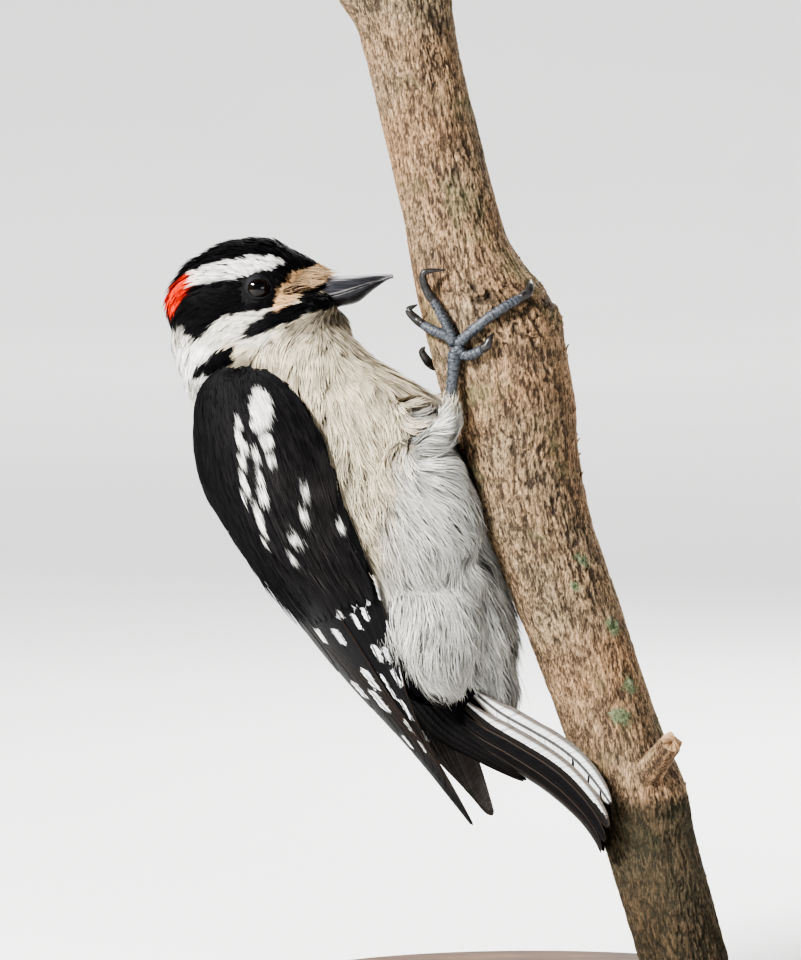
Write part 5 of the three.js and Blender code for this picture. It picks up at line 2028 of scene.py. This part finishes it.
@lru_cache(maxsize=None)
def skin_finish():
    """The down close to the skin, streaked as the coat over it, and darkened further with painted shade
    for the gaps between the tufts.
    """
    f = Finish("skin")
    at = f.place((1.0, 1.0, 0.35))
    down = f.noise(at, 2.6, 4, 0.6)
    # grey down, darkened further as painted shade, since the skin shows only in the gaps between tufts
    shade = f.ramp(down, [(0.3, (0.18, 0.18, 0.17)), (0.7, (0.46, 0.45, 0.43))])
    base = f.times(f.attribute("Plumage"), shade)
    return f.surface(Base_Color=base, Roughness=0.9, Normal=f.bump(down, 0.4))


@lru_cache(maxsize=None)
def vane_finish():
    """Firm feathers: barbs that run out from the shaft, a glossy shaft, white spots, and darker edges:
    brown wear on the wings, painted shade on the tail.
    """
    f = Finish("vane")
    across, along = f.map_axes("Barbs")
    aside = (across - 0.5).size() * BARB_MAP[0]
    slant = 1.1
    run = along * BARB_MAP[1] - aside * slant
    at = f.place()
    barbs = (run * 19 + f.noise(at, 0.9, 2) * 5).wave()
    split = f.noise(f.node("ShaderNodeCombineXYZ", None, {"X": run * 1.7, "Y": aside * 0.12}), 1.0, 3)
    mark = f.attribute("Mark", "Fac") + (split - 0.5) * 1.3
    white = f.ease(mark, -0.04, 0.10)
    # darker edges: worn brown edges on the wings; on the tail the same mix is painted shade along each
    # feather's edge and over its white
    edge = f.ease(f.attribute("Edge", "Fac"), 0.76, 0.99)
    (white_tint,) = tints("plumage", "white")
    streak = f.ramp(split, [(0.30, (0.75, 0.75, 0.75)), (0.62, (1.22, 1.20, 1.18))])
    dark = f.times(f.attribute("Plumage"), streak)
    tufted = f.ramp(split, [(0.32, (0.50, 0.51, 0.53)), (0.55, (0.97, 1, 1.03))])
    pale = f.times(white_tint, tufted)
    shaft = 1 - f.ease(aside, 0.10, 0.25)
    base = f.mix(white, dark, pale)
    base = f.mix(edge * (0.55 + 0.35 * white), base, (0.066, 0.048, 0.036))
    base = f.mix(shaft * (0.25 + 0.65 * white), base, (0.024, 0.020, 0.018))
    relief = f.bump(barbs * 0.5 + split * 1.2, 0.045)
    rough = 0.34 + 0.30 * white + 0.12 * split
    return f.surface(Base_Color=base, Roughness=rough, Specular_IOR_Level=0.11, Normal=relief)


@lru_cache(maxsize=None)
def bill_finish():
    """Slate horn with fine growth lines, paler towards the tip and worn along the edges, with a painted
    highlight along the top of the upper mandible.
    """
    f = Finish("bill")
    lines = f.noise(f.place((0.10, 2.2, 2.2)), 1.0, 4, 0.6)
    patches = f.noise(f.place((0.4, 1, 1)), 0.35, 2)
    (horn,) = tints("bare", "horn")
    stops = [(0.25, horn * 0.5), (0.5, horn), (0.72, horn * 2.6)]
    base = f.ramp(lines * 0.7 + patches * 0.3, stops)
    # the pale mix is worn horn at the edges and tip, and a painted highlight along the upper ridge
    pale = f.ease(f.attribute("Pale", "Fac") + (lines - 0.5) * 0.9, 0.1, 0.9)
    base = f.mix(pale * 0.7, base, (0.36, 0.35, 0.35))
    rough = 0.20 + 0.24 * lines
    return f.surface(Base_Color=base, Roughness=rough, Specular_IOR_Level=0.4, Normal=f.bump(lines, 0.04))


@lru_cache(maxsize=None)
def eye_finish():
    """A dark brown iris round a wide pupil under a wet cornea."""
    f = Finish("eye")
    ring = f.attribute("Ring", "Fac")
    rays = f.noise(f.place(), 3.5, 3)
    (iris,) = tints("bare", "iris")
    brown = f.ramp(rays, [(0.3, iris * 0.5), (0.7, iris * 1.6)])
    base = f.mix(f.ease(ring, 0.44, 0.50), (0.002, 0.002, 0.002), brown)
    base = f.mix(f.ease(ring, 0.82, 0.98), base, (0.004, 0.004, 0.004))
    return f.surface(Base_Color=base, Roughness=0.06, Specular_IOR_Level=0.40)


@lru_cache(maxsize=None)
def lid_finish():
    """Bare grey-black skin with fine wrinkles."""
    f = Finish("lid")
    grains = f.cells(f.place(), 5.5)
    base = f.ramp(grains, [(0.0, (0.016, 0.016, 0.018)), (0.8, (0.005, 0.005, 0.006))])
    return f.surface(Base_Color=base, Roughness=0.6, Specular_IOR_Level=0.3, Normal=f.bump(grains, 0.06))


@lru_cache(maxsize=None)
def leg_finish():
    """Blue-grey scutes with dark joints, and pale worn patches on the plates that are also painted
    highlights.
    """
    f = Finish("leg")
    scute = f.attribute("Scute", "Fac")
    at = f.place()
    stain = f.noise(at, 0.8, 3)
    grains = f.cells(at, 4.2)
    (leg,) = tints("bare", "leg")
    plate = f.ramp(stain, [(0.3, leg * 0.2), (0.5, leg * 0.5), (0.75, leg * 1.6)])
    # pale patches on the plates: partly worn scale, partly painted highlight
    worn = f.ease(scute, 0.55, 0.95) * f.ease(grains, 0.2, 0.7)
    base = f.mix(worn * 0.5, plate, leg * 4.0)
    base = f.mix(f.ease(1 - scute, 0.05, 0.75), base, leg * 0.12)
    rough = 0.34 + 0.25 * stain
    return f.surface(Base_Color=base, Roughness=rough, Normal=f.bump(grains, 0.05))


@lru_cache(maxsize=None)
def claw_finish():
    """Dark horn with faint lines along it."""
    f = Finish("claw")
    lines = f.noise(f.place((1.5, 1.5, 0.5)), 1.4, 3)
    (claw,) = tints("bare", "claw")
    base = f.ramp(lines, [(0.3, claw * 0.4), (0.7, claw * 1.8)])
    return f.surface(Base_Color=base, Roughness=0.28 + 0.2 * lines, Normal=f.bump(lines, 0.03))


@lru_cache(maxsize=None)
def bark_finish():
    """Weathered bark: tan plates with painted highlights on their tops, dark cracks partly painted shade,
    green bloom, lichens, a painted shadow that darkens the foot, and sawn wood.
    """
    f = Finish("bark")
    bark, crack = tints("stand", "bark", "crack")
    at = f.place()
    fibres = f.noise(f.place((3.6, 3.6, 0.8)), 1.0, 5, 0.7)
    patches = f.noise(at, 0.06, 3)
    speckle = f.noise(at, 2.8, 3, 0.6)
    relief = f.attribute("Relief", "Fac") * 0.62 + (fibres - 0.5) * 2.6 - 0.08
    # darker cracks and lighter plate tops: partly the bark's own colour, partly painted shade in the
    # cracks and painted highlights on the ridges
    stops = [(0.0, crack * 0.5), (0.32, crack), (0.46, bark * 0.42)]
    stops += [(0.58, bark), (0.82, bark * (2.2, 2.2, 2.15))]
    plate = f.ramp(relief * 0.45 + 0.54, stops)
    warmth = f.ramp(patches, [(0.35, (1.06, 0.96, 0.88)), (0.65, (0.92, 0.98, 1.0))])
    base = f.times(plate, warmth)
    grain = f.ramp(speckle, [(0.3, (0.70, 0.69, 0.68)), (0.7, (1.2, 1.2, 1.2))])
    base = f.times(base, grain)
    bloom = f.ease(f.noise(at, 0.11, 4, 0.6), 0.52, 0.72) * 0.35
    base = f.mix(bloom, base, (0.13, 0.14, 0.07))
    crust = f.ease(f.attribute("Lichen", "Fac") + (speckle - 0.5) * 1.4, 0.02, 0.28)
    moss = f.ramp(speckle, [(0.35, (0.035, 0.055, 0.022)), (0.62, (0.17, 0.22, 0.13))])
    base = f.mix(crust * 0.9, base, moss)
    # painted shadow: below about 46 mm the bark is darkened nearly to black all round, with a ragged
    # upper edge
    foot_shadow_top, ragged = 46, 6
    painted_foot_shadow = f.ease(foot_shadow_top - f.part(at, "Z") + patches * ragged, 0, 4) * 0.72
    base = f.mix(painted_foot_shadow, base, (0.030, 0.030, 0.018))
    cut = f.attribute("Cut", "Fac")
    rings = (cut * 75 + f.noise(at, 0.25, 2) * 6).wave()
    pith = f.ramp(rings * 0.5 + 0.5, [(0.1, (0.27, 0.155, 0.085)), (0.8, (0.47, 0.33, 0.20))])
    base = f.mix(f.ease(cut, 0.02, 0.06), base, pith)
    relief = f.bump(fibres + speckle * 0.6, 0.28)
    rough = 0.70 + 0.15 * speckle
    return f.surface(Base_Color=base, Roughness=rough, Normal=relief, Specular_IOR_Level=0.3)


@lru_cache(maxsize=None)
def wood_finish():
    """Dark turned wood with a satin polish."""
    f = Finish("turned_wood")
    (wood,) = tints("stand", "wood")
    flow = f.noise(f.place((0.035, 0.30, 0.30)), 1.0, 4, 0.6, 0.8)
    pores = f.noise(f.place((0.12, 1.6, 1.6)), 1.0, 2)
    base = f.ramp(flow, [(0.3, wood * 0.35), (0.5, wood), (0.7, wood * 2.0)])
    base = f.mix(f.ease(pores, 0.62, 0.72) * 0.6, base, wood * 0.25)
    rough = 0.32 + 0.2 * flow
    return f.surface(Base_Color=base, Roughness=rough, Normal=f.bump(pores, 0.03), Specular_IOR_Level=0.2)


@lru_cache(maxsize=None)
def steel_finish():
    """Brushed steel."""
    f = Finish("steel")
    brushed = f.noise(f.place((0.2, 0.2, 9.0)), 1.0, 3)
    base = f.ramp(brushed, [(0.2, (0.42, 0.43, 0.44)), (0.8, (0.62, 0.62, 0.63))])
    return f.surface(Base_Color=base, Metallic=1.0, Roughness=0.22 + 0.2 * brushed)


def paper_finish():
    """Pale studio paper with a faint glow."""
    f = Finish("paper")
    tone = f.noise(f.place(), 0.002, 2)
    (paper,) = tints("stage", "paper")
    base = f.ramp(tone, [(0.3, paper * 0.97), (0.7, paper * 1.02)])
    glow = {"Emission_Color": (0.95, 0.97, 1.0, 1.0), "Emission_Strength": 0.11}
    return f.surface(Base_Color=base, Roughness=0.95, Specular_IOR_Level=0.1, **glow)


# ---------------------------------------------------------------- the coat's regions


@lru_cache(maxsize=None)
def bare_form():
    """The skin, the lie of the coat and the feathers' roots, worked out once."""
    skin, lie = Skin(), Lie()
    roots = scatter(skin, lie, settings("plumage").crowding, np.random.default_rng(7))
    keep = clear_of_wings(roots) & clear_of_face(roots)
    return skin, lie, roots[keep]


def clear_of_wings(roots):
    """Leaves out the feathers that the wings hide."""
    share, height, aside, _ = WingCover().under(roots)
    s, t = share.T
    inside = (t > 0.02) & (t < 0.95) & (s > 0.05) & (s < 0.92)
    return ~(inside & (aside < 0.8) & (height < 3))


def clear_of_face(roots):
    """Leaves out the feathers that would grow on the eyes or inside the bill."""
    x, y, z = bird_to_head(roots).T
    y = np.abs(y)
    from_eye = packed(x, y, z) - (EYE_AT[0], EYE_AT[1] * 1.28, EYE_AT[2])
    on_eye = np.linalg.norm(from_eye / (2.45, 2.6, 2.1), axis=1) < 1
    at, _, ridges, keels, widths = np.array(BILL).T
    ridge, keel, wide = (np.interp(x, at, row) for row in (ridges, keels, widths))
    on_bill = (x > 12.5) & (y < wide) & (z < ridge) & (z > keel)
    return ~(on_eye | on_bill)


def near_thigh(roots):
    """How far roots are from the nearer thigh's outer half."""
    lines = [Spline(thigh_line(side)).at(np.linspace(0.35, 1, 9)) for side in FEET]
    size = np.tile(np.linspace(4.2, 1.6, 9), 2)
    away = np.linalg.norm(roots[:, None] - np.concatenate(lines)[None], axis=-1)
    return (away - size).min(axis=1)


def regions(roots):
    """Which piece of the coat each root belongs to."""
    head = bird_to_head(roots)
    along, towards = spine_offset(roots)
    choices = [
        head[:, 2] - 0.35 * head[:, 0] > 5.5,
        (head[:, 2] + 0.35 * head[:, 0] > -1.0) & (head[:, 0] > -1),
        head[:, 2] + 0.25 * head[:, 0] > -8.0,
        near_thigh(roots) < 1.6,
        roots[:, 2] < -33.5 - 0.55 * np.maximum(0, roots[:, 0] - 22),
        (along > 0.62) & (towards > -0.3),
        towards < -0.3,
        along > 0.40,
    ]
    return np.select(choices, range(8), 8)


# strands and points of each, spread, rise, curl, roll, width, gathering of the tips and how light
# the feathers are at their roots, where they are painted darker for grey down and for painted shade
# between the tufts
STYLES = {
    "coat_crown": Style(16, 5, 0.26, 0.36, 0.040, 0.30, 0.9, 0.2, 0.5),
    "coat_face": Style(13, 4, 0.30, 0.24, 0.040, 0.30, 0.75, 0.2, 0.55),
    "coat_nape": Style(18, 4, 0.28, 0.17, 0.045, 0.30, 0.9, 0.3, 0.5),
    "coat_legs": Style(26, 6, 0.22, 0.17, 0.110, 0.40, 0.85, 0.45, 0.28),
    "coat_tail_root": Style(18, 5, 0.26, 0.12, 0.040, 0.30, 1.1, 0.2, 0.6),
    "coat_breast": Style(34, 5, 0.25, 0.22, 0.070, 0.35, 0.90, 0.50, 0.30),
    "coat_back": Style(24, 5, 0.30, 0.19, 0.040, 0.30, 1.1, 0.3, 0.6),
    "coat_belly": Style(31, 6, 0.24, 0.28, 0.120, 0.40, 0.92, 0.70, 0.12),
    "coat_vent": Style(40, 6, 0.25, 0.30, 0.140, 0.45, 0.85, 0.65, 0.12),
}


# ---------------------------------------------------------------- operators
# place, width, power in shares of the key light's, and target
LAMPS = (
    ("key", (-600, -560, 660), 260, 1.0, (-25, 0, 110)),
    ("fill", (620, -700, 240), 500, 0.08, (-25, 0, 110)),
    ("rim", (260, 620, 520), 320, 0.22, (-25, 0, 110)),
    ("wall", (0, 2300, 2600), 1600, 3.0, (0, 3000, 0)),
)


class BuildStage(bpy.types.Operator):
    """Floor, backdrop, lights and camera"""

    bl_idname = "woodpecker.build_stage"
    bl_label = "Stage"

    def execute(self, context):
        stage = settings("stage")
        reach, bend, top = 3000.0, 2500.0, 4000.0
        profile = [(radius, 0.0) for radius in (1.0, 300.0, 1200.0, reach)]
        profile += arc_profile((reach, bend), bend, -90, 0, 40) + [(reach + bend, top)]
        points, faces = lathe(profile, 180)
        floor = bpy.data.objects.new("backdrop", welded(points, faces[:, ::-1], 3.0))
        floor.data.materials.append(paper_finish())
        context.scene.collection.objects.link(floor)
        for name, place, size, share, target in LAMPS:
            self.add_light(name, place, size, stage.key * share, target)
        world = bpy.data.worlds.new("studio")
        world.use_nodes = True
        sky = world.node_tree.nodes["Background"]
        sky.inputs["Color"].default_value = (0.93, 0.96, 1.0, 1.0)
        sky.inputs["Strength"].default_value = 0.18
        context.scene.world = world
        context.scene.view_settings.look = "AgX - High Contrast"
        self.add_camera(context, stage.distance / MM)
        return {"FINISHED"}

    @staticmethod
    def aim(thing, place, target):
        """Puts a thing at a place in millimetres, facing a target."""
        thing.location = Vector(place) * MM
        thing.rotation_euler = (Vector(target) - Vector(place)).to_track_quat("-Z", "Y").to_euler()

    def add_light(self, name, place, size, power, target):
        """A soft lamp, wider than tall."""
        light = bpy.data.lights.new(name, "AREA")
        light.shape = "RECTANGLE"
        light.size, light.size_y = size * MM, 0.45 * size * MM
        light.energy = power
        lamp = bpy.data.objects.new(name, light)
        self.aim(lamp, place, target)
        bpy.context.scene.collection.objects.link(lamp)

    def add_camera(self, context, distance):
        """The camera in front, a little above, that shows a height given in millimetres."""
        target, elevation, tall = Vector((-25.8, 0.0, 105.9)), math.radians(4), 177.8
        lens = bpy.data.cameras.new("camera")
        lens.sensor_width = 36.0
        lens.lens = 36.0 * distance / tall
        lens.clip_end = 20.0
        camera = bpy.data.objects.new("camera", lens)
        back = Vector((0, -math.cos(elevation), math.sin(elevation))) * distance
        self.aim(camera, target + back, target)
        context.scene.collection.objects.link(camera)
        context.scene.camera = camera


class BuildStem(bpy.types.Operator):
    """The cut stem that the bird clings to"""

    bl_idname = "woodpecker.build_stem"
    bl_label = "Stem"

    def execute(self, context):
        add_stem()
        add_snag()
        add_flakes(np.random.default_rng(11))
        return {"FINISHED"}


class BuildStand(bpy.types.Operator):
    """The turned base and the rods that hold the stem"""

    bl_idname = "woodpecker.build_stand"
    bl_label = "Stand"

    def execute(self, context):
        add_base()
        add_rods()
        return {"FINISHED"}


class BuildSkin(bpy.types.Operator):
    """The form under the coat, in one piece from crown to vent"""

    bl_idname = "woodpecker.build_skin"
    bl_label = "Skin"

    def execute(self, context):
        skin, _, _ = bare_form()
        mesh = skin.mesh.copy()
        set_points(mesh, bird_to_world(skin.points))
        paint_points(mesh, "Plumage", plumage(skin.points))
        mesh.polygons.foreach_set("use_smooth", np.full(len(mesh.polygons), True))
        mesh.name = "skin"
        nodes = ("head", "neck", "trunk", "rump", "thigh_right", "thigh_left")
        add_piece("skin", mesh, skin_finish(), nodes)
        return {"FINISHED"}


class BuildCoat(bpy.types.Operator):
    """The feathers of the head and body, region by region"""

    bl_idname = "woodpecker.build_coat"
    bl_label = "Coat"

    def execute(self, context):
        skin, lie, roots = bare_form()
        region = regions(roots)
        for number, (name, style) in enumerate(STYLES.items()):
            rng = np.random.default_rng(100 + number)
            tint = tints("plumage", "black")[0] if name == "coat_tail_root" else None
            add_coat(name, skin, lie, roots[region == number], style, rng, tint)
        return {"FINISHED"}


class BuildWings(bpy.types.Operator):
    """Coverts, flight feathers and linings of both wings"""

    bl_idname = "woodpecker.build_wings"
    bl_label = "Wings"

    def execute(self, context):
        for number, side in enumerate(WAYS):
            add_wing(side, np.random.default_rng(200 + number))
        return {"FINISHED"}


class BuildTail(bpy.types.Operator):
    """The stiff tail feathers"""

    bl_idname = "woodpecker.build_tail"
    bl_label = "Tail"

    def execute(self, context):
        for number, side in enumerate(WAYS):
            add_tail_side(side, np.random.default_rng(300 + number))
            add_tail_root(side)
        return {"FINISHED"}


class BuildFace(bpy.types.Operator):
    """Bill, eyes and lids"""

    bl_idname = "woodpecker.build_face"
    bl_label = "Face"

    def execute(self, context):
        for name, way in (("bill_upper", 1), ("bill_lower", -1)):
            points, faces, pale = mandible(way)
            mesh = new_mesh(name, bird_to_world(head_to_bird(points)), faces)
            paint_points(mesh, "Pale", pale)
            add_piece(f"{name}_horn", merged(mesh), bill_finish(), (name,))
        for side in FEET:
            add_eye(side)
        add_lids()
        add_bristles(bare_form()[0], np.random.default_rng(500))
        return {"FINISHED"}


class BuildFeet(bpy.types.Operator):
    """Legs, toes and claws"""

    bl_idname = "woodpecker.build_feet"
    bl_label = "Feet"

    def execute(self, context):
        for side in FEET:
            add_foot(side)
        return {"FINISHED"}


OPERATORS = (
    BuildStage, BuildStem, BuildStand, BuildSkin, BuildCoat, BuildWings, BuildTail, BuildFace, BuildFeet
)
GROUPS = {
    "plumage": PlumageSettings, "bare": BareSettings, "stand": StandSettings, "stage": StageSettings
}


class WoodpeckerPanel(bpy.types.Panel):
    """Lists the sizes, the colours and the steps"""

    bl_idname = "VIEW3D_PT_woodpecker"
    bl_label = "Woodpecker"
    bl_space_type = "VIEW_3D"
    bl_region_type = "UI"
    bl_category = "Woodpecker"

    def draw(self, context):
        for group, kind in GROUPS.items():
            box = self.layout.box()
            for key in kind.__annotations__:
                box.prop(settings(group), key)
        for operator in OPERATORS:
            self.layout.operator(operator.bl_idname)


def register():
    """Adds the classes and their settings."""
    for kind in (*GROUPS.values(), *OPERATORS, WoodpeckerPanel):
        bpy.utils.register_class(kind)
    for group, kind in GROUPS.items():
        setattr(bpy.types.Scene, "woodpecker_" + group, PointerProperty(type=kind))


def unregister():
    """Takes them out again."""
    for group in GROUPS:
        delattr(bpy.types.Scene, "woodpecker_" + group)
    for kind in (WoodpeckerPanel, *OPERATORS, *GROUPS.values()):
        bpy.utils.unregister_class(kind)


def main():
    """Builds the model step by step."""
    register()
    for operator in OPERATORS:
        getattr(bpy.ops.woodpecker, operator.bl_idname.split(".")[1])()


if __name__ == "__main__":
    main()
